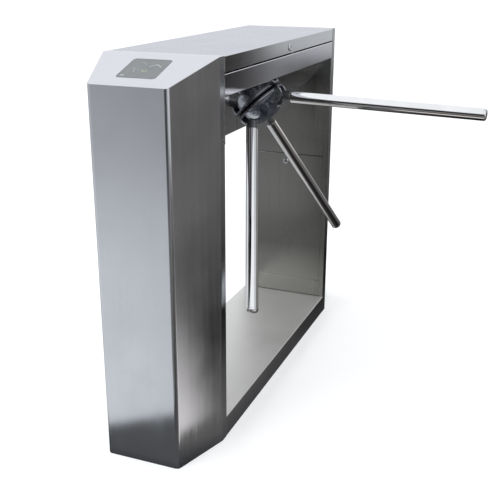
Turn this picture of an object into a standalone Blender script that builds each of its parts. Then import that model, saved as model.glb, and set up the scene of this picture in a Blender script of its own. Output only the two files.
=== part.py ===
# Bridge-type tripod turnstile with a visitor counter, as an assembly.
# Metres, +Z up.  Origin: plan centre of the cabinet, on the floor.
# +X is the passage side (the side the arms stand on), +Y runs along the cabinet.
import bpy
import bmesh
import math
from mathutils import Matrix, Vector

for _o in list(bpy.data.objects):
    bpy.data.objects.remove(_o, do_unlink=True)

# ------------------------------------------------------------------ dimensions
HEIGHT = 0.980            # floor to the flat top
HALF_L = 0.6185           # half the cabinet length (1.237 m over all)
HALF_W = 0.1485           # half the cabinet width (0.297 m)
HALF_WF = 0.098           # half the width of the narrow end face
FACET_Y = 0.4605          # where the end facets meet the long sides
INNER_Y = 0.4335          # inner faces of the posts (the opening is 0.867 m long)
END_TOP = 0.928           # top of the end face; the top slopes from here to HEIGHT
SHEET = 0.0020            # sheet metal
GAP = 0.0003              # gap between pieces that touch
BEND_END = 0.012          # bend radius, end face to facet
BEND_SIDE = 0.005         # bend radius, facet to side
FRAME_X = 0.131           # half width of the openings in the inner faces

PLINTH_TOP = 0.058        # top of the base between the posts
FOOT_T = 0.004            # foot plate

SIDE_Z = 0.888            # lower edge of the box side on the passage side
RIM_Z = 0.939             # top of the mechanism housing, under the lid
BOTTOM_Z = 0.6963         # flat bottom of the mechanism housing
RIM_W = 0.0165            # width of the rim flange

SEAM_Z = 0.5645           # seam between inner panel and service panel
PANEL_LOCK_Z = 0.538

LID_Y = 0.4330            # half length of the lid
LID_Z = 0.9425            # lower edge of the lid's skirt
LID_LOCK_Y = 0.0155
LID_LOCK_Z = 0.958
HINGE_X = -0.1530         # lid hinge axis
HINGE_Z = 0.9395

AXIS_TILT = math.radians(46.0)     # rotor axis below horizontal
ARM_CONE = math.radians(44.6)      # angle between rotor axis and each arm
AXIS_X, AXIS_Z = 0.0656, 0.8078    # where the rotor axis passes the slanted panel

HUB_R = 0.070
PIVOT_R, PIVOT_Z = 0.0535, 0.0246  # arm pivot: distance from the axis, height over the panel
SLOT_W = 0.0128                    # half width of the slot for the arm's tang
CHEEK_W = 0.0185                   # half width over the clevis cheeks
TUBE_R, TUBE_RI = 0.016, 0.0143
TUBE_A, TUBE_B = 0.041, 0.557      # tube start and end, measured from the pivot
ARM_END = 0.566

SHAFT_R = 0.015
GEAR_MODULE = 0.0018
GEAR_TEETH, PINION_TEETH = 30, 15
GEAR_CENTRES = GEAR_MODULE * (GEAR_TEETH + PINION_TEETH) / 2

# ------------------------------------------------------------------ materials
def material(name, rgb, rough, metal):
    m = bpy.data.materials.get(name)
    if m:
        return m
    m = bpy.data.materials.new(name)
    m.use_nodes = True
    b = m.node_tree.nodes["Principled BSDF"]
    b.inputs["Base Color"].default_value = (rgb[0], rgb[1], rgb[2], 1.0)
    b.inputs["Roughness"].default_value = rough
    b.inputs["Metallic"].default_value = metal
    m.diffuse_color = (rgb[0], rgb[1], rgb[2], 1.0)
    return m

STEEL = ("stainless_sheet", (0.60, 0.61, 0.62), 0.32, 1.0)
MIRROR = ("stainless_polished", (0.62, 0.62, 0.63), 0.08, 1.0)
CHROME = ("chrome", (0.80, 0.80, 0.81), 0.06, 1.0)
CAST = ("black_casting", (0.035, 0.036, 0.040), 0.38, 0.3)
SILVER = ("satin_silver", (0.62, 0.64, 0.68), 0.28, 1.0)
DARKSTEEL = ("dark_steel", (0.13, 0.13, 0.14), 0.35, 0.9)
MACHINED = ("machined_steel", (0.45, 0.45, 0.46), 0.35, 1.0)
ZINC = ("zinc_plate", (0.50, 0.51, 0.50), 0.45, 0.9)
BLACKP = ("black_plastic", (0.02, 0.02, 0.022), 0.45, 0.0)
GLASS = ("smoked_window", (0.22, 0.23, 0.25), 0.10, 0.0)
BOARD = ("circuit_board", (0.02, 0.16, 0.07), 0.50, 0.0)
RUBBER = ("rubber", (0.015, 0.015, 0.015), 0.80, 0.0)
BRASS = ("brass", (0.70, 0.52, 0.22), 0.30, 1.0)
COIL = ("coil_case", (0.05, 0.05, 0.06), 0.55, 0.2)

# ------------------------------------------------------------------ solids
def to_object(name, bm):
    bmesh.ops.remove_doubles(bm, verts=bm.verts, dist=1e-6)
    bmesh.ops.recalc_face_normals(bm, faces=bm.faces)
    me = bpy.data.meshes.new(name)
    bm.to_mesh(me)
    bm.free()
    ob = bpy.data.objects.new(name, me)
    bpy.context.scene.collection.objects.link(ob)
    return ob

def box(lo, hi):
    bm = bmesh.new()
    bmesh.ops.create_cube(bm, size=1.0)
    for v in bm.verts:
        v.co = Vector([lo[i] + (v.co[i] + 0.5) * (hi[i] - lo[i]) for i in range(3)])
    return to_object("box", bm)

def prism(points, lo, hi, axis):
    """Extrudes a flat outline from lo to hi along x, y or z."""
    put = {"x": lambda p, w: (w, p[0], p[1]),
           "y": lambda p, w: (p[0], w, p[1]),
           "z": lambda p, w: (p[0], p[1], w)}[axis]
    bm = bmesh.new()
    face = bm.faces.new([bm.verts.new(put(p, lo)) for p in points])
    out = bmesh.ops.extrude_face_region(bm, geom=[face])
    vs = [g for g in out["geom"] if isinstance(g, bmesh.types.BMVert)]
    d = Vector(put((0.0, 0.0), hi)) - Vector(put((0.0, 0.0), lo))
    bmesh.ops.translate(bm, verts=vs, vec=d)
    return to_object("prism", bm)

def lathe(profile, steps=32):
    """Turns a profile of (radius, height) about Z.  A profile that starts and
    ends on the axis makes a plug, any other is closed into a ring."""
    bm = bmesh.new()
    rings = []
    for r, z in profile:
        if r < 1e-9:
            rings.append([bm.verts.new((0.0, 0.0, z))])
        else:
            rings.append([bm.verts.new((r * math.cos(2 * math.pi * k / steps),
                                        r * math.sin(2 * math.pi * k / steps), z))
                          for k in range(steps)])
    pairs = list(zip(rings[:-1], rings[1:]))
    if profile[0][0] > 1e-9:
        pairs.append((rings[-1], rings[0]))
    for a, b in pairs:
        for k in range(steps):
            j = (k + 1) % steps
            if len(a) == 1:
                bm.faces.new((a[0], b[k], b[j]))
            elif len(b) == 1:
                bm.faces.new((a[k], b[0], a[j]))
            else:
                bm.faces.new((a[k], b[k], b[j], a[j]))
    return to_object("lathe", bm)

def rod(r, z0, z1, steps=20, chamfer=0.0):
    c = chamfer
    if c:
        return lathe([(0, z0), (r - c, z0), (r, z0 + c), (r, z1 - c), (r - c, z1), (0, z1)], steps)
    return lathe([(0, z0), (r, z0), (r, z1), (0, z1)], steps)

def moved(ob, m):
    ob.data.transform(m)
    return ob

def along(axis, at=(0, 0, 0)):
    """Matrix that lays a Z-turned solid along x or y, at a point."""
    rot = {"x": Matrix.Rotation(math.radians(90), 4, 'Y'),
           "y": Matrix.Rotation(math.radians(-90), 4, 'X'),
           "z": Matrix.Identity(4)}[axis]
    return Matrix.Translation(at) @ rot

def combine(ob, tool, how):
    mod = ob.modifiers.new("combine", 'BOOLEAN')
    mod.operation = how
    mod.solver = 'EXACT'
    mod.object = tool
    tool.hide_render = True
    tool.display_type = 'WIRE'
    deps = bpy.context.evaluated_depsgraph_get()
    me = bpy.data.meshes.new_from_object(ob.evaluated_get(deps))
    ob.modifiers.clear()
    ob.data = me
    bpy.data.objects.remove(tool, do_unlink=True)
    return ob

def cut(ob, *tools):
    for t in tools:
        combine(ob, t, 'DIFFERENCE')
    return ob

def fuse(ob, *tools):
    for t in tools:
        combine(ob, t, 'UNION')
    return ob

def clip_above(ob, point, normal):
    """Keeps the part of a solid below a plane and closes the cut."""
    bm = bmesh.new()
    bm.from_mesh(ob.data)
    bmesh.ops.bisect_plane(bm, geom=bm.verts[:] + bm.edges[:] + bm.faces[:], dist=1e-7,
                           plane_co=point, plane_no=normal, clear_outer=True)
    open_edges = [e for e in bm.edges if len(e.link_faces) == 1]
    bmesh.ops.edgeloop_fill(bm, edges=open_edges)
    bmesh.ops.recalc_face_normals(bm, faces=bm.faces)
    bm.to_mesh(ob.data)
    bm.free()
    return ob

def rounded(points, radii, seg=4):
    """Outline with its corners rounded; convex or concave."""
    out = []
    n = len(points)
    for i in range(n):
        p0, p1, p2 = Vector(points[i - 1]), Vector(points[i]), Vector(points[(i + 1) % n])
        r = radii[i]
        if r <= 0:
            out.append((p1.x, p1.y))
            continue
        a, b = (p0 - p1).normalized(), (p2 - p1).normalized()
        half = math.acos(max(-1, min(1, a.dot(b)))) / 2
        t = r / math.tan(half)
        c = p1 + (a + b).normalized() * (r / math.sin(half))
        s, e = p1 + a * t - c, p1 + b * t - c
        ang = s.angle_signed(e)
        for k in range(seg + 1):
            v = s.copy()
            v.rotate(Matrix.Rotation(-ang * k / seg, 2))
            out.append((c.x + v.x, c.y + v.y))
    return out

EMPTIES = {}

def axis_empty(name, m, parent=None):
    e = bpy.data.objects.new(name, None)
    e.empty_display_size = 0.05
    bpy.context.scene.collection.objects.link(e)
    if parent:
        e.parent = EMPTIES[parent]
        e.matrix_parent_inverse = EMPTIES[parent].matrix_world.inverted()
    e.matrix_world = m
    bpy.context.view_layer.update()
    EMPTIES[name] = e
    return e

def finish(ob, name, mat, parent, place=None, smooth=30):
    """Names the solid, gives it its material and hangs it on its axis.
    place is the frame that its mesh is drawn in; without one it is drawn in
    world coordinates and its origin moves to the parent's."""
    ob.name = name
    ob.data.name = name
    ob.data.materials.clear()
    ob.data.materials.append(material(*mat))
    ob.data.shade_smooth()
    ob.data.set_sharp_from_angle(angle=math.radians(smooth))
    par = EMPTIES[parent]
    if place is None:
        place = par.matrix_world.copy()
        ob.data.transform(place.inverted())
    ob.parent = par
    ob.matrix_parent_inverse = par.matrix_world.inverted()
    ob.matrix_world = place
    return ob

# ------------------------------------------------------------------ axes
axis_empty("cabinet_frame", Matrix.Identity(4))
c46, s46 = math.cos(AXIS_TILT), math.sin(AXIS_TILT)
# rotor frame: x up the slanted panel, y towards the front end, z out along the axis
ROTOR = Matrix(((s46, 0, c46, AXIS_X), (0, -1, 0, 0), (c46, 0, -s46, AXIS_Z), (0, 0, 0, 1)))
axis_empty("rotor_axis", ROTOR, "cabinet_frame")
ARMS = []
for k in range(3):
    turn = ROTOR @ Matrix.Rotation(2 * math.pi * k / 3, 4, 'Z')
    frame = turn @ Matrix.Translation((PIVOT_R, 0, PIVOT_Z)) @ Matrix.Rotation(ARM_CONE, 4, 'Y')
    ARMS.append((turn, frame))
    axis_empty("arm_%d_axis" % (k + 1), frame, "rotor_axis")
axis_empty("lid_axis", Matrix.Translation((HINGE_X, 0, HINGE_Z)), "cabinet_frame")
axis_empty("lid_lock_axis", Matrix.Translation((HALF_W, LID_LOCK_Y, LID_LOCK_Z)), "lid_axis")
for end, s in (("front", -1), ("rear", 1)):
    axis_empty(end + "_panel_axis", Matrix.Translation((0, s * INNER_Y, PLINTH_TOP + 0.002)),
               "cabinet_frame")
    axis_empty(end + "_lock_axis", Matrix.Translation((0, s * INNER_Y, PANEL_LOCK_Z)),
               end + "_panel_axis")

# ------------------------------------------------------------------ posts
SLOPE = math.atan2(HEIGHT - END_TOP, HALF_L - FACET_Y)

def post_outline(inset, inner_y, radii):
    """Plan of a post; the end face and facets move in by inset."""
    ex, ey = HALF_W - HALF_WF, HALF_L - FACET_Y
    ln = math.hypot(ex, ey)
    # facet line moved inwards by inset, met with the moved end face and side
    nx, ny = ey / ln, -ex / ln
    fx = lambda y: HALF_WF + (y + HALF_L) * ex / ey - inset / nx
    y0 = -HALF_L + inset
    x0 = fx(y0)
    x1 = HALF_W - inset
    y1 = -HALF_L + (x1 + inset / nx - HALF_WF) * ey / ex
    pts = [(-x0, y0), (x0, y0), (x1, y1), (x1, inner_y), (-x1, inner_y), (-x1, y1)]
    rad = [radii[0], radii[0], radii[1], 0, 0, radii[1]]
    return rounded(pts, rad, 4)

def post_shell():
    out = prism(post_outline(0, -INNER_Y, (BEND_END, BEND_SIDE)), 0, 1.1, "z")
    n = Vector((0, -math.sin(SLOPE), math.cos(SLOPE)))
    clip_above(out, (0, 0, HEIGHT), (0, 0, 1))
    clip_above(out, (0, -HALF_L, END_TOP), n)
    inn = prism(post_outline(SHEET, -INNER_Y - SHEET, (BEND_END - SHEET, BEND_SIDE - SHEET)),
                -0.05, 1.1, "z")
    clip_above(inn, (0, 0, HEIGHT - SHEET), (0, 0, 1))
    clip_above(inn, Vector((0, -HALF_L, END_TOP)) - n * SHEET, n)
    cut(out, inn)
    # opening in the inner face, open down to the floor
    cut(out, box((-FRAME_X, -INNER_Y - 0.006, -0.05), (FRAME_X, -INNER_Y + 0.004, 0.9350)))
    # display window opening in the sloping top
    w = rounded([(-0.0490, -0.0490), (0.0490, -0.0490), (0.0490, 0.0490), (-0.0490, 0.0490)],
                [0.009] * 4, 4)
    win = moved(prism(w, -0.02, 0.02, "z"), WINDOW)
    cut(out, win)
    return out

# frame of the display window: origin on the sloping top, y up the slope, z outwards
WIN_S = 0.0880
WINDOW = (Matrix.Translation((0, -HALF_L + WIN_S * math.cos(SLOPE), END_TOP + WIN_S * math.sin(SLOPE)))
          @ Matrix.Rotation(SLOPE, 4, 'X'))
FLIP = Matrix.Rotation(math.pi, 4, 'Z')

for end in ("front", "rear"):
    turn = (lambda o: o) if end == "front" else (lambda o: moved(o, FLIP))
    s = -1 if end == "front" else 1
    finish(turn(post_shell()), end + "_post_shell", STEEL, "cabinet_frame")

    # window: a plate in the opening with a lip behind the sheet
    w1 = rounded([(-0.0487, -0.0487), (0.0487, -0.0487), (0.0487, 0.0487), (-0.0487, 0.0487)],
                 [0.0087] * 4, 4)
    w2 = rounded([(-0.0555, -0.0540), (0.0555, -0.0540), (0.0555, 0.0540), (-0.0555, 0.0540)],
                 [0.010] * 4, 4)
    pane = prism(w1, -0.0030, 0.0, "z")
    fuse(pane, prism(w2, -0.0038, -SHEET - GAP, "z"))
    finish(turn(moved(pane, WINDOW)), end + "_display_window", GLASS, "cabinet_frame")

    # display board on four studs, with its light matrix
    board = box((-0.052, -0.050, -0.0140), (0.052, 0.050, -0.0124))
    fuse(board, box((-0.036, -0.036, -0.0130), (0.036, 0.036, -0.0070)))
    for sx in (-1, 1):
        for sy in (-1, 1):
            fuse(board, moved(rod(0.0025, -0.0132, -0.0041, 12),
                              Matrix.Translation((sx * 0.046, sy * 0.044, 0))))
    finish(turn(moved(board, WINDOW)), end + "_display_board", BOARD, "cabinet_frame")

    # fixed inner panel above the service panel, with side and bottom returns
    fx = FRAME_X - 0.0005
    y0, yd = -INNER_Y, -INNER_Y - 0.0140
    pan = box((-fx, y0 - SHEET, SEAM_Z + 0.0010), (fx, y0, 0.9345))
    fuse(pan, box((-fx, yd, SEAM_Z + 0.0010), (fx, y0 - 0.0005, SEAM_Z + 0.0030)))
    for sx in (-1, 1):
        xs = sorted((sx * fx, sx * (fx - SHEET)))
        fuse(pan, box((xs[0], yd, SEAM_Z + 0.0010), (xs[1], y0 - 0.0005, 0.9345)))
    cut(pan, moved(rod(0.020, -0.02, 0.02, 20), along("y", (-0.085 if end == "front" else 0.085, y0, 0.845))))
    finish(turn(pan), end + "_inner_panel", STEEL, "cabinet_frame")

    # service panel, tips out about its lower edge
    pan = box((-fx, y0 - SHEET, PLINTH_TOP + 0.0025), (fx, y0, SEAM_Z - 0.0005))
    for sx in (-1, 1):
        xs = sorted((sx * fx, sx * (fx - SHEET)))
        fuse(pan, box((xs[0], yd + 0.002, PLINTH_TOP + 0.0025), (xs[1], y0 - 0.0005, SEAM_Z - 0.0005)))
    cut(pan, moved(rod(0.0083, -0.02, 0.02, 20), along("y", (0, y0, PANEL_LOCK_Z))))
    finish(turn(pan), end + "_service_panel", STEEL, end + "_panel_axis")

    # its lock: barrel with key slot, and the cam behind it
    bar = lathe([(0, 0.0028), (0.0085, 0.0028), (0.0095, 0.0018), (0.0095, GAP), (0.0080, GAP),
                 (0.0080, -0.0140), (0, -0.0140)], 20)
    cut(bar, box((-0.0007, -0.0045, 0.0012), (0.0007, 0.0045, 0.006)))
    finish(turn(moved(bar, along("y", (0, y0, PANEL_LOCK_Z)))), end + "_panel_lock_barrel",
           CHROME, end + "_lock_axis")
    tongue = prism(rounded([(-0.009, -0.008), (0.042, -0.006), (0.042, 0.006), (-0.009, 0.008)],
                           [0.006, 0.003, 0.003, 0.006], 3), y0 - 0.0168, y0 - 0.0143, "y")
    moved(tongue, Matrix.Translation((0, 0, PANEL_LOCK_Z)))
    finish(turn(tongue) if end == "front" else moved(turn(tongue), Matrix.Scale(-1, 4, (1, 0, 0))),
           end + "_panel_lock_cam", ZINC, end + "_lock_axis")

# the mirrored rear cam has to face outwards again
def face_out(ob):
    bm = bmesh.new()
    bm.from_mesh(ob.data)
    bmesh.ops.recalc_face_normals(bm, faces=bm.faces)
    bm.to_mesh(ob.data)
    bm.free()

face_out(bpy.data.objects["rear_panel_lock_cam"])

# ------------------------------------------------------------------ base frame
base = box((-HALF_W, -INNER_Y + GAP, 0), (HALF_W, INNER_Y - GAP, PLINTH_TOP))
cut(base, box((-HALF_W + SHEET, -0.6, FOOT_T), (HALF_W - SHEET, 0.6, PLINTH_TOP - SHEET)))
for s in (-1, 1):
    foot = prism(post_outline(SHEET + 2 * GAP, -0.4200, (BEND_END - SHEET, BEND_SIDE - SHEET)),
                 0, FOOT_T, "z")
    # inside the post's frame the foot is as narrow as the opening
    cut(foot, box((FRAME_X - 0.001, -INNER_Y - 0.0040, -0.01), (0.2, -INNER_Y + GAP, 0.01)),
        box((-0.2, -INNER_Y - 0.0040, -0.01), (-FRAME_X + 0.001, -INNER_Y + GAP, 0.01)))
    if s > 0:
        moved(foot, FLIP)
    fuse(base, foot)
    for sx in (-1, 1):
        cut(base, moved(rod(0.0065, -0.02, 0.02, 16), Matrix.Translation((sx * 0.055, s * 0.535, 0))))
finish(base, "base_frame", STEEL, "cabinet_frame")

n = 0
for s in (-1, 1):
    for sx in (-1, 1):
        n += 1
        # hex head on a washer, shank down through the foot plate
        head = prism([(0.011 * math.cos(math.radians(60 * i)), 0.011 * math.sin(math.radians(60 * i)))
                      for i in range(6)], FOOT_T + GAP + 0.0020, FOOT_T + GAP + 0.0095, "z")
        fuse(head, rod(0.0130, FOOT_T + GAP, FOOT_T + GAP + 0.0025, 16), rod(0.0060, 0.0006, 0.0180, 12))
        moved(head, Matrix.Translation((sx * 0.055, s * 0.535, 0)))
        finish(head, "anchor_bolt_%d" % n, ZINC, "cabinet_frame")

# ------------------------------------------------------------------ mechanism housing
def housing_outline(inset, top):
    """Section across the housing: side, slanted panel, flat bottom, back side."""
    # the slanted panel: a line through (HALF_W, SIDE_Z) along the rotor frame's x
    a = HALF_W - inset
    # slanted line moved inwards by inset
    def slant_x(z):
        return HALF_W - (SIDE_Z - z) * s46 / c46 - inset / c46
    z_a = SIDE_Z + (a - slant_x(SIDE_Z)) * c46 / s46
    z_b = BOTTOM_Z + inset
    return [(a, top), (a, z_a), (slant_x(z_b), z_b), (-a, z_b), (-a, top)]

hl = INNER_Y - GAP
hs = prism(rounded(housing_outline(0, RIM_Z), [0, 0.003, 0.003, 0.003, 0], 2), -hl, hl, "y")
cut(hs, prism(housing_outline(SHEET, RIM_Z - SHEET), -0.6, 0.6, "y"))
cut(hs, box((-HALF_W + RIM_W, -hl + 0.010, 0.93), (HALF_W - RIM_W, hl - 0.010, 0.95)))
bore = moved(rod(0.0460, -0.02, 0.02, 32), ROTOR)
cut(hs, bore)
finish(hs, "mechanism_housing", STEEL, "cabinet_frame")

# ------------------------------------------------------------------ lid
lid = box((-HALF_W, -LID_Y, LID_Z), (HALF_W, LID_Y, HEIGHT))
bm = bmesh.new()
bm.from_mesh(lid.data)
edges = [e for e in bm.edges if all(v.co.z > HEIGHT - 1e-4 for v in e.verts)
         and abs(e.verts[0].co.x - e.verts[1].co.x) < 1e-4]
bmesh.ops.bevel(bm, geom=edges, offset=0.003, segments=3, profile=0.5, affect='EDGES')
bm.to_mesh(lid.data)
bm.free()
cut(lid, box((-HALF_W + SHEET, -LID_Y + SHEET, LID_Z - 0.01), (HALF_W - SHEET, LID_Y - SHEET, HEIGHT - SHEET)))
cut(lid, moved(rod(0.0083, -0.02, 0.02, 20), along("x", (HALF_W, LID_LOCK_Y, LID_LOCK_Z))))
finish(lid, "lid_cover", STEEL, "lid_axis")

bar = lathe([(0, 0.0028), (0.0085, 0.0028), (0.0095, 0.0018), (0.0095, GAP), (0.0080, GAP),
             (0.0080, -0.0137), (0, -0.0137)], 20)
cut(bar, box((-0.0045, -0.0007, 0.0012), (0.0045, 0.0007, 0.006)))
finish(moved(bar, along("x", (HALF_W, LID_LOCK_Y, LID_LOCK_Z))), "lid_lock_barrel", CHROME,
       "lid_lock_axis")
tongue = prism(rounded([(-0.006, 0.007), (-0.005, -0.0165), (0.005, -0.0165), (0.006, 0.007)],
                       [0.003, 0.002, 0.002, 0.003], 3), HALF_W - 0.0165, HALF_W - 0.0140, "x")
finish(moved(tongue, Matrix.Translation((0, LID_LOCK_Y, LID_LOCK_Z))), "lid_lock_cam", ZINC,
       "lid_lock_axis")
# strike: a ledge that the locked tongue lies under, on a leg and foot on the rim
ly = LID_LOCK_Y
strike = box((0.1305, ly + 0.0085, 0.9645), (0.1385, ly + 0.0250, 0.9670))
fuse(strike, box((0.1305, ly + 0.0225, RIM_Z + GAP), (0.1385, ly + 0.0250, 0.9660)),
     box((0.1330, ly + 0.0230, RIM_Z + GAP), (0.1455, ly + 0.0420, RIM_Z + GAP + 0.0022)))
finish(strike, "lid_strike", ZINC, "cabinet_frame")

# lid hinge: five knuckles on one pin, three on the fixed leaf, two on the moving leaf
KN_R, KN_RI, PIN_R, LEAF_T = 0.0035, 0.0019, 0.0016, 0.0015
hinge_half = 0.400
seg_l = 2 * hinge_half / 5
def knuckle(i):
    y0 = -hinge_half + i * seg_l + (GAP if i else 0)
    y1 = -hinge_half + (i + 1) * seg_l - (GAP if i < 4 else 0)
    return moved(rod(KN_R, y0, y1, 12), along("y", (HINGE_X, 0, HINGE_Z)))
fixed = box((-HALF_W - GAP - LEAF_T, -hinge_half, 0.9150), (-HALF_W - GAP, hinge_half, RIM_Z - 0.0008))
moving = box((-HALF_W - GAP - LEAF_T, -hinge_half, HINGE_Z + 0.0010), (-HALF_W - GAP, hinge_half, 0.9650))
for i in range(5):
    y0 = -hinge_half + i * seg_l
    y1 = y0 + seg_l
    leaf, z0, z1 = (fixed, 0.930, HINGE_Z) if i % 2 == 0 else (moving, HINGE_Z, 0.948)
    # web that joins the knuckle to its leaf
    fuse(leaf, box((HINGE_X - 0.0002, y0 + (GAP if i else 0), min(z0, z1)),
                   (-HALF_W - GAP - 0.0002, y1 - (GAP if i < 4 else 0), max(z0, z1))) )
    fuse(leaf, knuckle(i))
# each leaf stays clear of the other leaf's knuckles
for i in range(5):
    y0 = -hinge_half + i * seg_l
    y1 = y0 + seg_l
    leaf = moving if i % 2 == 0 else fixed
    cut(leaf, moved(rod(KN_R + 0.0006, y0 - (GAP if i else 0.01), y1 + (GAP if i < 4 else 0.01), 8),
                    along("y", (HINGE_X, 0, HINGE_Z))))
for leaf in (fixed, moving):
    cut(leaf, moved(rod(KN_RI, -0.5, 0.5, 8), along("y", (HINGE_X, 0, HINGE_Z))))
finish(fixed, "lid_hinge_leaf_fixed", ZINC, "cabinet_frame")
finish(moving, "lid_hinge_leaf_moving", ZINC, "lid_axis")
finish(moved(rod(PIN_R, -hinge_half, hinge_half, 8), along("y", (HINGE_X, 0, HINGE_Z))),
       "lid_hinge_pin", MACHINED, "cabinet_frame")

# ------------------------------------------------------------------ rotor, drawn in its own frame
def put(ob, name, mat, parent="rotor_axis", frame=ROTOR, smooth=30):
    return finish(ob, name, mat, parent, frame, smooth)

put(lathe([(0.0560, GAP), (0.0560, 0.0027), (0.0475, 0.0027), (0.0475, GAP)], 24),
    "shaft_seal_ring", RUBBER, "cabinet_frame")

# hub: flange and dome, three clevises
dome = [(0, 0.0030), (HUB_R, 0.0030), (HUB_R, 0.0085), (0.0685, 0.0100), (0.0660, 0.0110),
        (0.0655, 0.0180), (0.0625, 0.0270), (0.0560, 0.0360), (0.0460, 0.0440),
        (0.0320, 0.0510), (0.0160, 0.0550), (0, 0.0560)]
hub = lathe(dome, 40)
CH_C = Vector((0.0510, 0.0116))                   # middle of the cover plate's straight edge
CH_U = Vector((0.967, -0.257))                    # along that edge, outwards
CH_B = Vector((0.257, 0.967))                     # where the plate bulges
def half_disc(r, seg):
    pts = []
    for i in range(seg + 1):
        a = math.pi * i / seg
        p = CH_C + CH_U * (r * math.cos(a)) + CH_B * (r * math.sin(a))
        pts.append((p.x, p.y))
    return pts
cheek = half_disc(0.0247, 14)
cheek = [(0.0770, 0.0032)] + cheek + [(0.0240, 0.0032)]
# flats beside each clevis, down to the cover plates' straight edges
lo_in = CH_C - CH_U * 0.0252 - CH_B * 0.0005
lo_out = CH_C + CH_U * 0.0700 - CH_B * 0.0005
flat = [(lo_in.x, lo_in.y), (lo_out.x, lo_out.y), (lo_out.x, 0.12), (lo_in.x, 0.12)]
for k in range(3):
    rot = Matrix.Rotation(2 * math.pi * k / 3, 4, 'Z')
    cut(hub, moved(prism(flat, CHEEK_W - 0.0005, 0.09, "y"), rot), moved(prism(flat, -0.09, -CHEEK_W + 0.0005, "y"), rot))
for k in range(3):
    rot = Matrix.Rotation(2 * math.pi * k / 3, 4, 'Z')
    fuse(hub, moved(prism(cheek, -CHEEK_W, CHEEK_W, "y"), rot))
for k in range(3):
    rot = Matrix.Rotation(2 * math.pi * k / 3, 4, 'Z')
    cut(hub, moved(box((0.0375, -SLOT_W, 0.0090), (0.12, SLOT_W, 0.12)), rot),
        moved(box((0.0372, -0.0167, 0.0372), (0.12, 0.0167, 0.12)), rot),
        moved(moved(rod(0.0053, -0.05, 0.05, 16), along("y", (PIVOT_R, 0, PIVOT_Z))), rot))
cut(hub, rod(SHAFT_R + 0.0004, -0.01, 0.0300, 20))
put(hub, "hub_body", CAST)

for k in range(3):
    turn, frame = ARMS[k]
    num = k + 1
    # pin through both cheeks with a half-moon cover plate at each end
    pivot = moved(rod(0.0050, -CHEEK_W - 0.0010, CHEEK_W + 0.0010, 16), along("y", (PIVOT_R, 0, PIVOT_Z)))
    for s in (-1, 1):
        lo, hi = sorted((s * (CHEEK_W + GAP), s * (CHEEK_W + 0.0023)))
        fuse(pivot, prism(half_disc(0.0240, 12), lo, hi, "y"))
        cut(pivot, moved(lathe([(0.0042, -0.0009), (0.0042, 0.002), (0.0026, 0.002), (0.0026, -0.0009)], 10),
                         along("y", (PIVOT_R, s * (CHEEK_W + 0.0023), PIVOT_Z)) @
                         Matrix.Rotation(0 if s > 0 else math.pi, 4, 'X')))
    put(pivot, "arm_%d_pivot" % num, SILVER, "rotor_axis", turn)

    ax = "arm_%d_axis" % num
    # tang with a round end, stub, and a plug inside the tube
    tang = moved(rod(0.0140, -0.0120, 0.0120, 20), along("y"))
    fuse(tang, box((-0.0140, -0.0120, 0), (0.0140, 0.0120, 0.0180)))
    fuse(tang, rod(0.0155, 0.0162, TUBE_A - GAP, 24), rod(TUBE_RI - GAP, 0.030, 0.072, 24))
    cut(tang, moved(rod(0.0053, -0.03, 0.03, 16), along("y")))
    put(tang, "arm_%d_root" % num, DARKSTEEL, ax, frame)
    put(lathe([(TUBE_R, TUBE_A), (TUBE_R, TUBE_B), (TUBE_RI, TUBE_B), (TUBE_RI, TUBE_A)], 24),
        "arm_%d_tube" % num, CHROME, ax, frame)
    # domed cap with a spigot inside the tube; its rim has a 6.5 mm radius
    cap = [(0, TUBE_B - 0.014), (TUBE_RI - GAP, TUBE_B - 0.014), (TUBE_RI - GAP, TUBE_B + GAP),
           (TUBE_R, TUBE_B + GAP)]
    for deg in (0, 18, 36, 54, 72):
        q = math.radians(deg)
        cap.append((TUBE_R - 0.0065 + 0.0065 * math.cos(q), TUBE_B + 0.0015 + 0.0065 * math.sin(q)))
    cap += [(0.0062, ARM_END - 0.0003), (0, ARM_END)]
    put(lathe(cap, 24), "arm_%d_end_cap" % num, CHROME, ax, frame)

# ------------------------------------------------------------------ shaft and bearings
put(rod(SHAFT_R, -0.1320, 0.0296, 20), "main_shaft", MACHINED)
def bearing(z0):
    ri, ro, w = SHAFT_R + 0.0004, 0.0306, 0.016
    g = 0.0012
    return lathe([(ri, z0), (0.0200, z0), (0.0205, z0 + g), (0.0253, z0 + g), (0.0258, z0), (ro, z0),
                  (ro, z0 + w), (0.0258, z0 + w), (0.0253, z0 + w - g), (0.0205, z0 + w - g),
                  (0.0200, z0 + w), (ri, z0 + w)], 20)
put(bearing(-0.0225), "outer_bearing", MACHINED, "cabinet_frame")
put(bearing(-0.0860), "inner_bearing", MACHINED, "cabinet_frame")
bh = lathe([(0.0445, -0.0030), (0.0445, -0.0108), (0.0600, -0.0108), (0.0600, -0.0188),
            (0.0445, -0.0188), (0.0425, -0.0900), (0.0311, -0.0900), (0.0311, -0.0697),
            (0.0270, -0.0697), (0.0270, -0.0228), (0.0311, -0.0228), (0.0311, -0.0030)], 24)
put(bh, "bearing_housing", CAST, "cabinet_frame")

LEVER_X, LEVER_Y = -0.0429, -0.0550
plate = box((-0.075, -0.115, -0.0105), (0.075, 0.115, -0.0023))
cut(plate, rod(0.0452, -0.03, 0.01, 24))
fuse(plate, moved(rod(0.0050, -0.1125, -0.005, 16), Matrix.Translation((LEVER_X, LEVER_Y, 0))))
put(plate, "mounting_plate", ZINC, "cabinet_frame")

# lock disc with twelve notches, one every thirty degrees
disc = lathe([(SHAFT_R + 0.0004, -0.1000), (0.0450, -0.1000), (0.0450, -0.0940), (SHAFT_R + 0.0004, -0.0940)], 24)
for k in range(12):
    cut(disc, moved(box((0.0390, -0.0040, -0.11), (0.06, 0.0040, -0.08)),
                    Matrix.Rotation(math.pi * k / 6, 4, 'Z')))
put(disc, "lock_disc", MACHINED)

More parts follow.
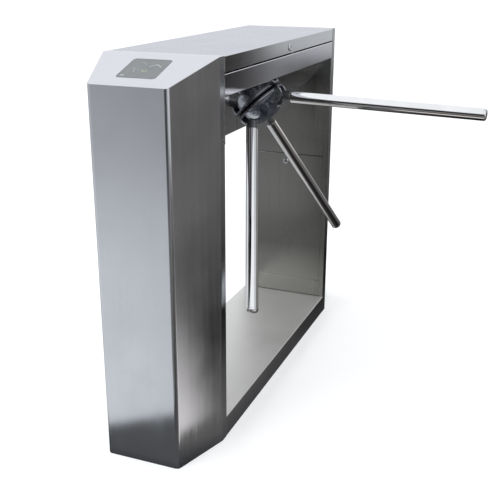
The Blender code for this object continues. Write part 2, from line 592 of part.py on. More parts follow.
for tag, s in (("a", 1), ("b", -1)):
    half = Matrix.Identity(4) if s > 0 else Matrix.Rotation(math.pi, 4, 'Z')
    body = box((-0.0140, 0.0620, -0.1110), (0.0140, 0.1000, -0.0830))
    fuse(body, box((-0.0140, 0.0990, -0.1110), (0.0140, 0.1030, -0.0108)))
    cut(body, box((-0.0037, 0.05, -0.1002), (0.0037, 0.0950, -0.0938)))
    put(moved(body, half), "solenoid_%s_body" % tag, COIL, "cabinet_frame")
    plunger = box((-0.0030, 0.0458, -0.0995), (0.0030, 0.0860, -0.0945))
    fuse(plunger, box((-0.0055, 0.0555, -0.1015), (0.0055, 0.0575, -0.0925)))
    put(moved(plunger, half), "solenoid_%s_plunger" % tag, MACHINED, "cabinet_frame",
        ROTOR)

# three-lobed index cam and the lever whose roller follows it
cam = []
for i in range(48):
    a = 2 * math.pi * i / 48
    r = 0.0300 + 0.0040 * math.cos(3 * a)
    cam.append((r * math.cos(a), r * math.sin(a)))
camo = prism(cam, -0.1100, -0.1030, "z")
cut(camo, rod(SHAFT_R + 0.0004, -0.2, 0.0, 20))
put(camo, "index_cam", MACHINED)
lever = prism(rounded([(-0.006, -0.010), (0.007, -0.010), (0.005, 0.062), (-0.007, 0.062)],
                      [0.006, 0.006, 0.004, 0.004], 3), -0.1090, -0.1040, "z")
fuse(lever, rod(0.0095, -0.1095, -0.1035, 20), moved(rod(0.0080, -0.1100, -0.1030, 20),
                                                     Matrix.Translation((0, -LEVER_Y, 0))))
cut(lever, rod(0.0053, -0.2, 0.0, 16))
lever_frame = ROTOR @ Matrix.Translation((LEVER_X, LEVER_Y, 0))
axis_empty("lever_axis", lever_frame, "cabinet_frame")
put(lever, "index_lever", ZINC, "lever_axis", lever_frame)

# gear pair: involute flanks, with backlash
def gear_outline(teeth, phase, thin):
    rp = GEAR_MODULE * teeth / 2
    rb = rp * math.cos(math.radians(20))
    ra = rp + 0.80 * GEAR_MODULE
    rf = rp - 1.15 * GEAR_MODULE
    inv = lambda r: math.sqrt(max(0.0, (r / rb) ** 2 - 1)) - math.atan(math.sqrt(max(0.0, (r / rb) ** 2 - 1)))
    half = math.pi / (2 * teeth) - thin / rp
    pts = []
    for i in range(teeth):
        c = phase + 2 * math.pi * i / teeth
        flank = []
        for r in (max(rb, rf), ra * 0.5 + max(rb, rf) * 0.5, ra):
            flank.append((r, half + inv(rp) - inv(r)))
        side = [(rf, flank[0][1] + 0.12 / teeth)] + flank
        pts += [(r * math.cos(c - a), r * math.sin(c - a)) for r, a in side]
        pts += [(r * math.cos(c + a), r * math.sin(c + a)) for r, a in reversed(side)]
    return pts

PIN_AZ = math.radians(-60.0)
gear = prism(gear_outline(GEAR_TEETH, PIN_AZ, 0.00012), -0.1280, -0.1200, "z")
cut(gear, rod(SHAFT_R + 0.0004, -0.2, 0.0, 20))
put(gear, "shaft_gear", BRASS)
pinion = prism(gear_outline(PINION_TEETH, math.pi + PIN_AZ + math.pi / PINION_TEETH, 0.00012),
               -0.1280, -0.1200, "z")
fuse(pinion, rod(0.0030, -0.1450, -0.1190, 16))
pin_frame = ROTOR @ Matrix.Translation((GEAR_CENTRES * math.cos(PIN_AZ), GEAR_CENTRES * math.sin(PIN_AZ), 0))
axis_empty("pinion_axis", pin_frame, "cabinet_frame")
put(pinion, "damper_pinion", BRASS, "pinion_axis", pin_frame)

damper = moved(rod(0.0180, -0.1560, -0.1310, 20, 0.001), Matrix.Translation((GEAR_CENTRES, 0, 0)))
fuse(damper, box((GEAR_CENTRES, -0.0100, -0.1560), (0.0665, 0.0100, -0.1520)),
     box((0.0625, -0.0100, -0.1560), (0.0665, 0.0100, -0.0108)))
cut(damper, moved(rod(0.0033, -0.1470, -0.1200, 16), Matrix.Translation((GEAR_CENTRES, 0, 0))))
put(moved(damper, Matrix.Rotation(PIN_AZ, 4, 'Z')), "damper_body", COIL, "cabinet_frame")

enc = lathe([(SHAFT_R + 0.0004, -0.1155), (0.0350, -0.1155), (0.0350, -0.1135), (SHAFT_R + 0.0004, -0.1135)], 24)
for k in range(12):
    cut(enc, moved(box((0.0305, -0.0022, -0.12), (0.06, 0.0022, -0.11)), Matrix.Rotation(math.pi * k / 6, 4, 'Z')))
put(enc, "encoder_disc", BLACKP)
sens = box((0.0370, -0.0080, -0.1190), (0.0640, 0.0080, -0.1108))
fuse(sens, box((0.0312, -0.0060, -0.1190), (0.0380, 0.0060, -0.1168)),
     box((0.0312, -0.0060, -0.1125), (0.0380, 0.0060, -0.1108)),
     box((0.0625, -0.0080, -0.1190), (0.0665, 0.0080, -0.0108)))
put(moved(sens, Matrix.Rotation(math.radians(60), 4, 'Z')), "counting_sensor", BLACKP, "cabinet_frame")

# ------------------------------------------------------------------ electronics on the housing floor
zf = BOTTOM_Z + SHEET
cb = box((-0.1380, 0.1500, zf + 0.0100), (-0.0640, 0.3200, zf + 0.0116))
for dx, dy in ((-0.132, 0.156), (-0.070, 0.156), (-0.132, 0.314), (-0.070, 0.314)):
    fuse(cb, moved(rod(0.0030, zf + GAP, zf + 0.0105, 12), Matrix.Translation((dx, dy, 0))))
for x0, x1, y0, y1, h in ((-0.130, -0.110, 0.175, 0.215, 0.012), (-0.100, -0.076, 0.180, 0.204, 0.004),
                          (-0.128, -0.072, 0.285, 0.305, 0.012), (-0.105, -0.085, 0.235, 0.262, 0.008)):
    fuse(cb, box((x0, y0, zf + 0.0110), (x1, y1, zf + 0.0116 + h)))
finish(cb, "controller_board", BOARD, "cabinet_frame")
ps = box((-0.1400, -0.3300, zf + GAP), (-0.0600, -0.1700, zf + 0.0380))
for i in range(7):
    y = -0.315 + i * 0.022
    cut(ps, box((-0.13, y, zf + 0.0360), (-0.07, y + 0.008, zf + 0.05)))
finish(ps, "power_supply", ZINC, "cabinet_frame")
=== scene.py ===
# The looks of the tripod turnstile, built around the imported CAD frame.
# Metres, +Z up, the same frame as the CAD.
import bpy
import bmesh
import math
from mathutils import Matrix, Vector


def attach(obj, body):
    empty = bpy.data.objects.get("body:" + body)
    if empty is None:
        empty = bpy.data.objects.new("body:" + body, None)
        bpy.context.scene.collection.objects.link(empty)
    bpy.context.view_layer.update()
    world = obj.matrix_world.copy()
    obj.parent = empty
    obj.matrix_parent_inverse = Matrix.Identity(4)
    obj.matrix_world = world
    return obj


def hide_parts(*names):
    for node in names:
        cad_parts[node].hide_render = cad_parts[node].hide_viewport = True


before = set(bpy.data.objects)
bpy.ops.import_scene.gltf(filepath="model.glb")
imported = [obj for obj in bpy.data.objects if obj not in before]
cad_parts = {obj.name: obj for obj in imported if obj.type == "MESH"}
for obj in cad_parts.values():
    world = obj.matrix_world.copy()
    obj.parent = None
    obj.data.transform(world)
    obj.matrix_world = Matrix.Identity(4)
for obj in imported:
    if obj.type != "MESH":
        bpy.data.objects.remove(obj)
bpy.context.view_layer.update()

# ------------------------------------------------------------------ dimensions (as in the CAD)
HEIGHT = 0.980
HALF_L = 0.6185
HALF_W = 0.1485
HALF_WF = 0.098
FACET_Y = 0.4605
INNER_Y = 0.4335
END_TOP = 0.928
SHEET = 0.0020
GAP = 0.0003
FRAME_X = 0.131
PLINTH_TOP = 0.058
FOOT_T = 0.004
SIDE_Z = 0.888
RIM_Z = 0.939
BOTTOM_Z = 0.6963
RIM_W = 0.0165
SEAM_Z = 0.5645
PANEL_LOCK_Z = 0.538
LID_Y = 0.4330
LID_Z = 0.9425
LID_LOCK_Y, LID_LOCK_Z = 0.0155, 0.958
AXIS_TILT = math.radians(46.0)
ARM_CONE = math.radians(44.6)
AXIS_X, AXIS_Z = 0.0656, 0.8078
HUB_R = 0.070
PIVOT_R, PIVOT_Z = 0.0535, 0.0246
SLOT_W = 0.0128
CHEEK_W = 0.0185
TUBE_R, TUBE_RI = 0.016, 0.0143
TUBE_A, TUBE_B = 0.041, 0.557
ARM_END = 0.566
SHAFT_R = 0.015
SLOPE = math.atan2(HEIGHT - END_TOP, HALF_L - FACET_Y)
c46, s46 = math.cos(AXIS_TILT), math.sin(AXIS_TILT)
ROTOR = Matrix(((s46, 0, c46, AXIS_X), (0, -1, 0, 0), (c46, 0, -s46, AXIS_Z), (0, 0, 0, 1)))
ARMS = []
for k in range(3):
    turn = ROTOR @ Matrix.Rotation(2 * math.pi * k / 3, 4, 'Z')
    ARMS.append((turn, turn @ Matrix.Translation((PIVOT_R, 0, PIVOT_Z)) @ Matrix.Rotation(ARM_CONE, 4, 'Y')))
WIN_S = 0.0880
WINDOW = (Matrix.Translation((0, -HALF_L + WIN_S * math.cos(SLOPE), END_TOP + WIN_S * math.sin(SLOPE)))
          @ Matrix.Rotation(SLOPE, 4, 'X'))
FLIP = Matrix.Rotation(math.pi, 4, 'Z')

# ------------------------------------------------------------------ mesh tools
scene = bpy.context.scene

def to_object(name, bm):
    bmesh.ops.remove_doubles(bm, verts=bm.verts, dist=1e-6)
    bmesh.ops.recalc_face_normals(bm, faces=bm.faces)
    me = bpy.data.meshes.new(name)
    bm.to_mesh(me)
    bm.free()
    ob = bpy.data.objects.new(name, me)
    scene.collection.objects.link(ob)
    return ob

def box(lo, hi):
    bm = bmesh.new()
    bmesh.ops.create_cube(bm, size=1.0)
    for v in bm.verts:
        v.co = Vector([lo[i] + (v.co[i] + 0.5) * (hi[i] - lo[i]) for i in range(3)])
    return to_object("box", bm)

def prism(points, lo, hi, axis):
    put = {"x": lambda p, w: (w, p[0], p[1]),
           "y": lambda p, w: (p[0], w, p[1]),
           "z": lambda p, w: (p[0], p[1], w)}[axis]
    bm = bmesh.new()
    face = bm.faces.new([bm.verts.new(put(p, lo)) for p in points])
    out = bmesh.ops.extrude_face_region(bm, geom=[face])
    vs = [g for g in out["geom"] if isinstance(g, bmesh.types.BMVert)]
    d = Vector(put((0.0, 0.0), hi)) - Vector(put((0.0, 0.0), lo))
    bmesh.ops.translate(bm, verts=vs, vec=d)
    return to_object("prism", bm)

def lathe(profile, steps=96):
    bm = bmesh.new()
    rings = []
    for r, z in profile:
        if r < 1e-9:
            rings.append([bm.verts.new((0.0, 0.0, z))])
        else:
            rings.append([bm.verts.new((r * math.cos(2 * math.pi * k / steps),
                                        r * math.sin(2 * math.pi * k / steps), z))
                          for k in range(steps)])
    pairs = list(zip(rings[:-1], rings[1:]))
    if profile[0][0] > 1e-9:
        pairs.append((rings[-1], rings[0]))
    for a, b in pairs:
        for k in range(steps):
            j = (k + 1) % steps
            if len(a) == 1:
                bm.faces.new((a[0], b[k], b[j]))
            elif len(b) == 1:
                bm.faces.new((a[k], b[0], a[j]))
            else:
                bm.faces.new((a[k], b[k], b[j], a[j]))
    return to_object("lathe", bm)

def rod(r, z0, z1, steps=48):
    return lathe([(0, z0), (r, z0), (r, z1), (0, z1)], steps)

def moved(ob, m):
    ob.data.transform(m)
    return ob

def along(axis, at=(0, 0, 0)):
    rot = {"x": Matrix.Rotation(math.radians(90), 4, 'Y'),
           "y": Matrix.Rotation(math.radians(-90), 4, 'X'),
           "z": Matrix.Identity(4)}[axis]
    return Matrix.Translation(at) @ rot

def settle(ob):
    """Applies an object's modifiers."""
    deps = bpy.context.evaluated_depsgraph_get()
    me = bpy.data.meshes.new_from_object(ob.evaluated_get(deps))
    ob.modifiers.clear()
    ob.data = me
    return ob

def combine(ob, tool, how):
    mod = ob.modifiers.new("combine", 'BOOLEAN')
    mod.operation = how
    mod.solver = 'EXACT'
    mod.object = tool
    settle(ob)
    bpy.data.objects.remove(tool, do_unlink=True)
    return ob

def cut(ob, *tools):
    for t in tools:
        combine(ob, t, 'DIFFERENCE')
    return ob

def fuse(ob, *tools):
    for t in tools:
        combine(ob, t, 'UNION')
    return ob

def clip_above(ob, point, normal):
    bm = bmesh.new()
    bm.from_mesh(ob.data)
    bmesh.ops.bisect_plane(bm, geom=bm.verts[:] + bm.edges[:] + bm.faces[:], dist=1e-7,
                           plane_co=point, plane_no=normal, clear_outer=True)
    open_edges = [e for e in bm.edges if len(e.link_faces) == 1]
    bmesh.ops.edgeloop_fill(bm, edges=open_edges)
    bmesh.ops.recalc_face_normals(bm, faces=bm.faces)
    bm.to_mesh(ob.data)
    bm.free()
    return ob

def rounded(points, radii, seg=8):
    out = []
    n = len(points)
    for i in range(n):
        p0, p1, p2 = Vector(points[i - 1]), Vector(points[i]), Vector(points[(i + 1) % n])
        r = radii[i]
        if r <= 0:
            out.append((p1.x, p1.y))
            continue
        a, b = (p0 - p1).normalized(), (p2 - p1).normalized()
        half = math.acos(max(-1, min(1, a.dot(b)))) / 2
        t = r / math.tan(half)
        c = p1 + (a + b).normalized() * (r / math.sin(half))
        s, e = p1 + a * t - c, p1 + b * t - c
        ang = s.angle_signed(e)
        for k in range(seg + 1):
            v = s.copy()
            v.rotate(Matrix.Rotation(-ang * k / seg, 2))
            out.append((c.x + v.x, c.y + v.y))
    return out

def even(ob):
    """Keeps flat faces flat in shading next to small bends."""
    mod = ob.modifiers.new("even", 'WEIGHTED_NORMAL')
    mod.mode = 'FACE_AREA'
    mod.weight = 100
    mod.thresh = 0.01
    mod.keep_sharp = True
    return settle(ob)

def tidy(ob, dist=2e-6):
    """Merge points that coincide and drop faces without area."""
    bm = bmesh.new()
    bm.from_mesh(ob.data)
    bmesh.ops.remove_doubles(bm, verts=bm.verts, dist=dist)
    bmesh.ops.dissolve_degenerate(bm, edges=bm.edges, dist=dist)
    bm.to_mesh(ob.data)
    bm.free()
    return ob

def soften(ob, width=0.0008, seg=3, angle=25):
    """Rounds every sharp edge and shades the result smooth."""
    tidy(ob, 2e-5)
    for p in ob.data.polygons:
        p.use_smooth = True
    mod = ob.modifiers.new("soften", 'BEVEL')
    mod.width = width
    mod.segments = seg
    mod.limit_method = 'ANGLE'
    mod.angle_limit = math.radians(angle)
    mod.use_clamp_overlap = True
    return even(tidy(settle(ob), 4e-6))

def smooth(ob, angle=35):
    ob.data.shade_smooth()
    ob.data.set_sharp_from_angle(angle=math.radians(angle))
    return even(ob)

def piece(ob, name, mats, body, stands_for=None):
    ob.name = name
    ob.data.name = name
    index = [p.material_index for p in ob.data.polygons]
    ob.data.materials.clear()
    for m in (mats if isinstance(mats, (list, tuple)) else [mats]):
        ob.data.materials.append(m)
    ob.data.polygons.foreach_set("material_index", index)
    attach(ob, body)
    if stands_for:
        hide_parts(*([stands_for] if isinstance(stands_for, str) else stands_for))
    return ob

def paint_by_normal(ob, test, index):
    """Gives the faces that pass test(centre, normal) another material slot."""
    for p in ob.data.polygons:
        if test(p.center, p.normal):
            p.material_index = index

# ------------------------------------------------------------------ materials
class Mat:
    """A small helper that wires one node material."""
    def __init__(self, name):
        self.m = bpy.data.materials.new(name)
        self.m.use_nodes = True
        self.nt = self.m.node_tree
        self.b = self.nt.nodes["Principled BSDF"]
        self.coord = self.nt.nodes.new("ShaderNodeTexCoord")

    def node(self, kind, **props):
        n = self.nt.nodes.new(kind)
        for k, v in props.items():
            setattr(n, k, v)
        return n

    def link(self, a, b):
        self.nt.links.new(a, b)

    def noise(self, scale=(1, 1, 1), detail=3.0, rough=0.6, size=1.0, distortion=0.0):
        mp = self.node("ShaderNodeMapping")
        mp.inputs["Scale"].default_value = scale
        self.link(self.coord.outputs["Object"], mp.inputs["Vector"])
        n = self.node("ShaderNodeTexNoise")
        n.inputs["Scale"].default_value = size
        n.inputs["Detail"].default_value = detail
        n.inputs["Roughness"].default_value = rough
        n.inputs["Distortion"].default_value = distortion
        self.link(mp.outputs["Vector"], n.inputs["Vector"])
        return n.outputs["Fac"]

    def remap(self, sock, lo, hi, a=0.0, b=1.0):
        n = self.node("ShaderNodeMapRange")
        n.inputs["From Min"].default_value = a
        n.inputs["From Max"].default_value = b
        n.inputs["To Min"].default_value = lo
        n.inputs["To Max"].default_value = hi
        self.link(sock, n.inputs["Value"])
        return n.outputs["Result"]

    def math(self, op, x, y):
        n = self.node("ShaderNodeMath", operation=op)
        for i, v in enumerate((x, y)):
            if isinstance(v, (int, float)):
                n.inputs[i].default_value = v
            else:
                self.link(v, n.inputs[i])
        return n.outputs["Value"]

    def mix(self, fac, ca, cb):
        n = self.node("ShaderNodeMix", data_type='RGBA')
        ins = [s for s in n.inputs if s.type == 'RGBA']
        f = n.inputs[0]
        if isinstance(fac, (int, float)):
            f.default_value = fac
        else:
            self.link(fac, f)
        for s, c in zip(ins, (ca, cb)):
            if isinstance(c, (tuple, list)):
                s.default_value = (c[0], c[1], c[2], 1.0)
            else:
                self.link(c, s)
        return [s for s in n.outputs if s.type == 'RGBA'][0]

    def bump(self, height, strength, distance, normal=None):
        n = self.node("ShaderNodeBump")
        n.inputs["Strength"].default_value = strength
        n.inputs["Distance"].default_value = distance
        self.link(height, n.inputs["Height"])
        if normal is not None:
            self.link(normal, n.inputs["Normal"])
        return n.outputs["Normal"]

    def set(self, **kw):
        for k, v in kw.items():
            s = self.b.inputs[k.replace("_", " ")]
            if isinstance(v, (int, float)):
                s.default_value = v
            elif isinstance(v, (tuple, list)):
                s.default_value = (v[0], v[1], v[2], 1.0)
            else:
                self.link(v, s)
        return self

def steel(name, grain, base, rough, aniso=0.5, tangent=None, fine=700.0, streak=0.05, cloud=0.06, bump=0.012, metallic=1.0, spread=0.06, foot=False):
    """Brushed stainless sheet: fine lines along the grain, soft cloudy variation; with foot set, painted light makes it
    brighter near the foot and towards the top.
    """
    m = Mat(name)
    g = {"x": (6, fine, fine), "y": (fine, 6, fine), "z": (fine, fine, 6)}[grain]
    gl = {"x": (1.2, 60, 60), "y": (60, 1.2, 60), "z": (60, 60, 1.2)}[grain]
    lines = m.noise(g, detail=4, rough=0.7)
    bands = m.noise(gl, detail=3, rough=0.55)
    patch = m.noise((7, 7, 7), detail=3, rough=0.5, distortion=0.4)
    mixed = m.math('ADD', m.math('MULTIPLY', lines, 0.55), m.math('MULTIPLY', bands, 0.45))
    tone = m.math('ADD', m.remap(mixed, 1 - streak, 1 + streak, 0.3, 0.7),
                  m.remap(patch, -cloud, cloud, 0.3, 0.7))
    if foot:        # painted light: brighter towards the foot, where the sheet reflects the bright plinth, and brighter again towards the top, lifting the shade under the housing
        z = m.node("ShaderNodeSeparateXYZ")
        m.link(m.coord.outputs["Object"], z.inputs[0])
        tone = m.math('MULTIPLY', tone, m.remap(z.outputs["Z"], 2.3, 1.0, 0.11, 0.24))
        tone = m.math('MULTIPLY', tone, m.remap(z.outputs["Z"], 1.0, 1.8, 0.62, 0.78))
        tone = m.math('MULTIPLY', tone, m.remap(z.outputs["Z"], 1.0, 1.6, 0.77, 0.86))
    col = m.node("ShaderNodeVectorMath", operation='SCALE')
    col.inputs[0].default_value = base
    m.link(tone, col.inputs["Scale"])
    r = m.math('ADD', m.remap(mixed, rough - spread, rough + spread, 0.3, 0.7), m.remap(patch, -spread / 2, spread / 2, 0.3, 0.7))
    m.set(Base_Color=col.outputs["Vector"], Metallic=metallic, Roughness=r)
    if aniso:
        m.b.inputs["Anisotropic"].default_value = aniso
        g = m.node("ShaderNodeNewGeometry")
        t = m.node("ShaderNodeVectorMath", operation='CROSS_PRODUCT')
        m.link(g.outputs["Normal"], t.inputs[0])
        t.inputs[1].default_value = tangent
        m.link(t.outputs["Vector"], m.b.inputs["Tangent"])
    m.link(m.bump(lines, bump, 0.00012), m.b.inputs["Normal"])
    return m.m

# each sheet by the run of its grain; the tangent (normal x grain) lies across it. The inner steel is painted shade: the
# same brushed sheet, much darker, for the faces along the passage.
STEEL_POST = steel("stainless_post", "z", (0.60, 0.62, 0.655), 0.22, 0.5, (0, 0, 1))
STEEL_SLOPE = steel("stainless_slope", "x", (0.70, 0.70, 0.735), 0.30, 0.3, (1, 0, 0), streak=0.02, cloud=0.02)
STEEL_LID = steel("stainless_lid", "y", (0.60, 0.61, 0.63), 0.075, 0.3, (0, 1, 0), spread=0.03)
STEEL_TOP = steel("stainless_top", "y", (0.485, 0.485, 0.55), 0.28, 0.3, (0, 1, 0), streak=0.02, cloud=0.02)
STEEL_SIDE = steel("stainless_side", "y", (0.56, 0.56, 0.60), 0.075, 0.3, (0, 1, 0), spread=0.03)
STEEL_PLINTH = steel("stainless_plinth", "y", (0.70, 0.695, 0.675), 0.42, 0.0, None, streak=0.03, cloud=0.04, metallic=0.72)
# painted shade: the inner faces of the posts and panels get a much darker copy of the post steel, with painted light
# near the foot and the top
STEEL_INNER_SHADED = steel("stainless_inner_painted_shade", "z", (0.165, 0.165, 0.155), 0.24, 0.5, (0, 0, 1), foot=True)

def polished(name, base, rough, scratch=0.03):
    m = Mat(name)
    cloud = m.noise((14, 14, 14), detail=3, rough=0.5)
    fine = m.noise((300, 300, 300), detail=3, rough=0.6)
    r = m.math('ADD', m.remap(cloud, rough * 0.75, rough * 1.3, 0.3, 0.7), m.remap(fine, -scratch * 0.4, scratch * 0.4, 0.3, 0.7))
    m.set(Base_Color=m.mix(m.remap(cloud, 0, 1, 0.3, 0.7), tuple(c * 0.95 for c in base), tuple(min(1, c * 1.04) for c in base)),
          Metallic=1.0, Roughness=r)
    m.link(m.bump(fine, 0.02, 0.00005), m.b.inputs["Normal"])
    return m.m

MIRROR = polished("stainless_polished", (0.28, 0.28, 0.30), 0.05)
CHROME = polished("chrome", (0.84, 0.84, 0.85), 0.05)
CHROME_LOCK = polished("chrome_lock", (0.80, 0.80, 0.82), 0.10)

def coated(name, base, rough, grain=900.0, bump=0.12, metallic=0.0, coat=0.0, spread=0.2, distance=0.00012):
    """Paint, anodising or moulded plastic with a fine skin."""
    m = Mat(name)
    fine = m.noise((grain, grain, grain), detail=2, rough=0.6)
    soft = m.noise((25, 25, 25), detail=3, rough=0.55)
    both = m.math('ADD', m.math('MULTIPLY', fine, 0.5), m.math('MULTIPLY', soft, 0.5))
    m.set(Base_Color=m.mix(m.remap(both, 0, 1, 0.3, 0.7), tuple(c * (1 - spread) for c in base), tuple(min(1, c * (1 + spread)) for c in base)),
          Metallic=metallic, Roughness=m.remap(both, max(0.02, rough - 0.07), min(1, rough + 0.07), 0.3, 0.7))
    if coat:
        m.b.inputs["Coat Weight"].default_value = coat
        m.b.inputs["Coat Roughness"].default_value = 0.12
    m.link(m.bump(fine, bump, distance), m.b.inputs["Normal"])
    return m.m

CAST = coated("black_casting", (0.070, 0.077, 0.094), 0.27, metallic=0.35, coat=0.25, bump=0.10, grain=1100)
EDGE = coated("machined_edge", (0.30, 0.31, 0.34), 0.26, metallic=0.9, bump=0.05, spread=0.1)
DARKSTEEL = coated("dark_steel", (0.17, 0.17, 0.18), 0.28, metallic=0.85, bump=0.08)
BLACKP = coated("black_plastic", (0.020, 0.020, 0.022), 0.45, grain=1600)
# painted shade: near black for the walls and floors of key slots and screw recesses
RECESS_SHADE = coated("recess_painted_shade", (0.012, 0.012, 0.013), 0.5, grain=800)
RUBBER = coated("rubber", (0.016, 0.016, 0.017), 0.75, grain=700)
COIL = coated("coil_case", (0.05, 0.05, 0.06), 0.50, grain=500)
SILVER = steel("satin_silver", "x", (0.62, 0.64, 0.68), 0.26, 0.0, None, fine=700, streak=0.05, cloud=0.05, bump=0.08)
PLATE = coated("satin_plate", (0.60, 0.63, 0.68), 0.24, metallic=0.95, bump=0.02, spread=0.04, grain=600)
MACHINED = steel("machined_steel", "y", (0.46, 0.46, 0.47), 0.30, 0.0, None, fine=900, streak=0.08, cloud=0.05)
ZINC = coated("zinc_plate", (0.52, 0.53, 0.51), 0.42, grain=120, metallic=0.95, bump=0.05, spread=0.12)
BRASS = steel("brass", "x", (0.72, 0.53, 0.22), 0.28, 0.0, None, fine=700, streak=0.05, cloud=0.08)

def board(name):
    """Green solder mask with faint tracks."""
    m = Mat(name)
    mp = m.node("ShaderNodeMapping")
    mp.inputs["Scale"].default_value = (260, 260, 1)
    m.link(m.coord.outputs["Object"], mp.inputs["Vector"])
    v = m.node("ShaderNodeTexVoronoi", feature='F1', distance='CHEBYCHEV')
    v.inputs["Scale"].default_value = 1.0
    m.link(mp.outputs["Vector"], v.inputs["Vector"])
    tracks = m.remap(v.outputs["Distance"], 0, 1, 0.38, 0.42)
    m.set(Base_Color=m.mix(tracks, (0.010, 0.095, 0.040), (0.020, 0.150, 0.065)), Metallic=0.0,
          Roughness=m.remap(m.noise((200, 200, 200)), 0.30, 0.5, 0.3, 0.7))
    m.b.inputs["Coat Weight"].default_value = 0.4
    m.link(m.bump(tracks, 0.15, 0.0001), m.b.inputs["Normal"])
    return m.m

BOARD = board("circuit_board")

def window():
    """Smoked acrylic: grey, glossy, a little dusty."""
    m = Mat("smoked_window")
    dust = m.noise((60, 60, 60), detail=4, rough=0.65)
    soft = m.noise((18, 18, 18), detail=2, rough=0.5)
    m.set(Base_Color=m.mix(m.remap(soft, 0, 1, 0.3, 0.7), (0.095, 0.105, 0.112), (0.125, 0.135, 0.140)),
          Metallic=0.0, Roughness=m.remap(dust, 0.12, 0.26, 0.3, 0.7))
    m.b.inputs["Coat Weight"].default_value = 0.25
    m.b.inputs["Coat Roughness"].default_value = 0.06
    m.link(m.bump(dust, 0.02, 0.00005), m.b.inputs["Normal"])
    return m.m

WINDOW_MAT = window()
LEGEND = coated("window_legend", (0.30, 0.33, 0.33), 0.30, grain=300, bump=0.03, spread=0.10)
LEGEND_DIM = coated("window_legend_dim", (0.205, 0.222, 0.228), 0.28, grain=300, bump=0.03, spread=0.08)

def lamp_mat():
    m = Mat("window_lamp")
    n = m.noise((900, 900, 900), detail=1)
    m.set(Base_Color=m.mix(n, (0.28, 0.34, 0.22), (0.42, 0.50, 0.33)), Roughness=0.4)
    m.b.inputs["Emission Color"].default_value = (0.40, 0.55, 0.28, 1)
    m.b.inputs["Emission Strength"].default_value = 0.12
    return m.m

LAMP = lamp_mat()

# ------------------------------------------------------------------ posts
BEND_END, BEND_SIDE = 0.012, 0.006

def post_outline(inset, inner_y, radii, seg=10):
    ex, ey = HALF_W - HALF_WF, HALF_L - FACET_Y
    ln = math.hypot(ex, ey)
    nx = ey / ln
    fx = lambda y: HALF_WF + (y + HALF_L) * ex / ey - inset / nx
    y0 = -HALF_L + inset
    x0 = fx(y0)
    x1 = HALF_W - inset
    y1 = -HALF_L + (x1 + inset / nx - HALF_WF) * ey / ex
    pts = [(-x0, y0), (x0, y0), (x1, y1), (x1, inner_y), (-x1, inner_y), (-x1, y1)]
    rad = [radii[0], radii[0], radii[1], radii[2], radii[2], radii[1]]
    return rounded(pts, rad, seg)

def post_shell():
    out = prism(post_outline(0, -INNER_Y, (BEND_END, BEND_SIDE, 0.0025)), 0, 1.1, "z")
    n = Vector((0, -math.sin(SLOPE), math.cos(SLOPE)))
    clip_above(out, (0, 0, HEIGHT), (0, 0, 1))
    clip_above(out, (0, -HALF_L, END_TOP), n)
    soften(out, 0.0014, 3, 20)
    inn = prism(post_outline(SHEET, -INNER_Y - SHEET, (BEND_END - SHEET, BEND_SIDE - SHEET, 0.0)), -0.05, 1.1, "z")
    clip_above(inn, (0, 0, HEIGHT - SHEET), (0, 0, 1))
    clip_above(inn, Vector((0, -HALF_L, END_TOP)) - n * SHEET, n)
    cut(out, inn)
    cut(out, box((-FRAME_X, -INNER_Y - 0.006, -0.05), (FRAME_X, -INNER_Y + 0.004, 0.9350)))
    w = rounded([(-0.0490, -0.0490), (0.0490, -0.0490), (0.0490, 0.0490), (-0.0490, 0.0490)], [0.009] * 4, 10)
    cut(out, moved(prism(w, -0.02, 0.02, "z"), WINDOW))
    return smooth(out, 22)

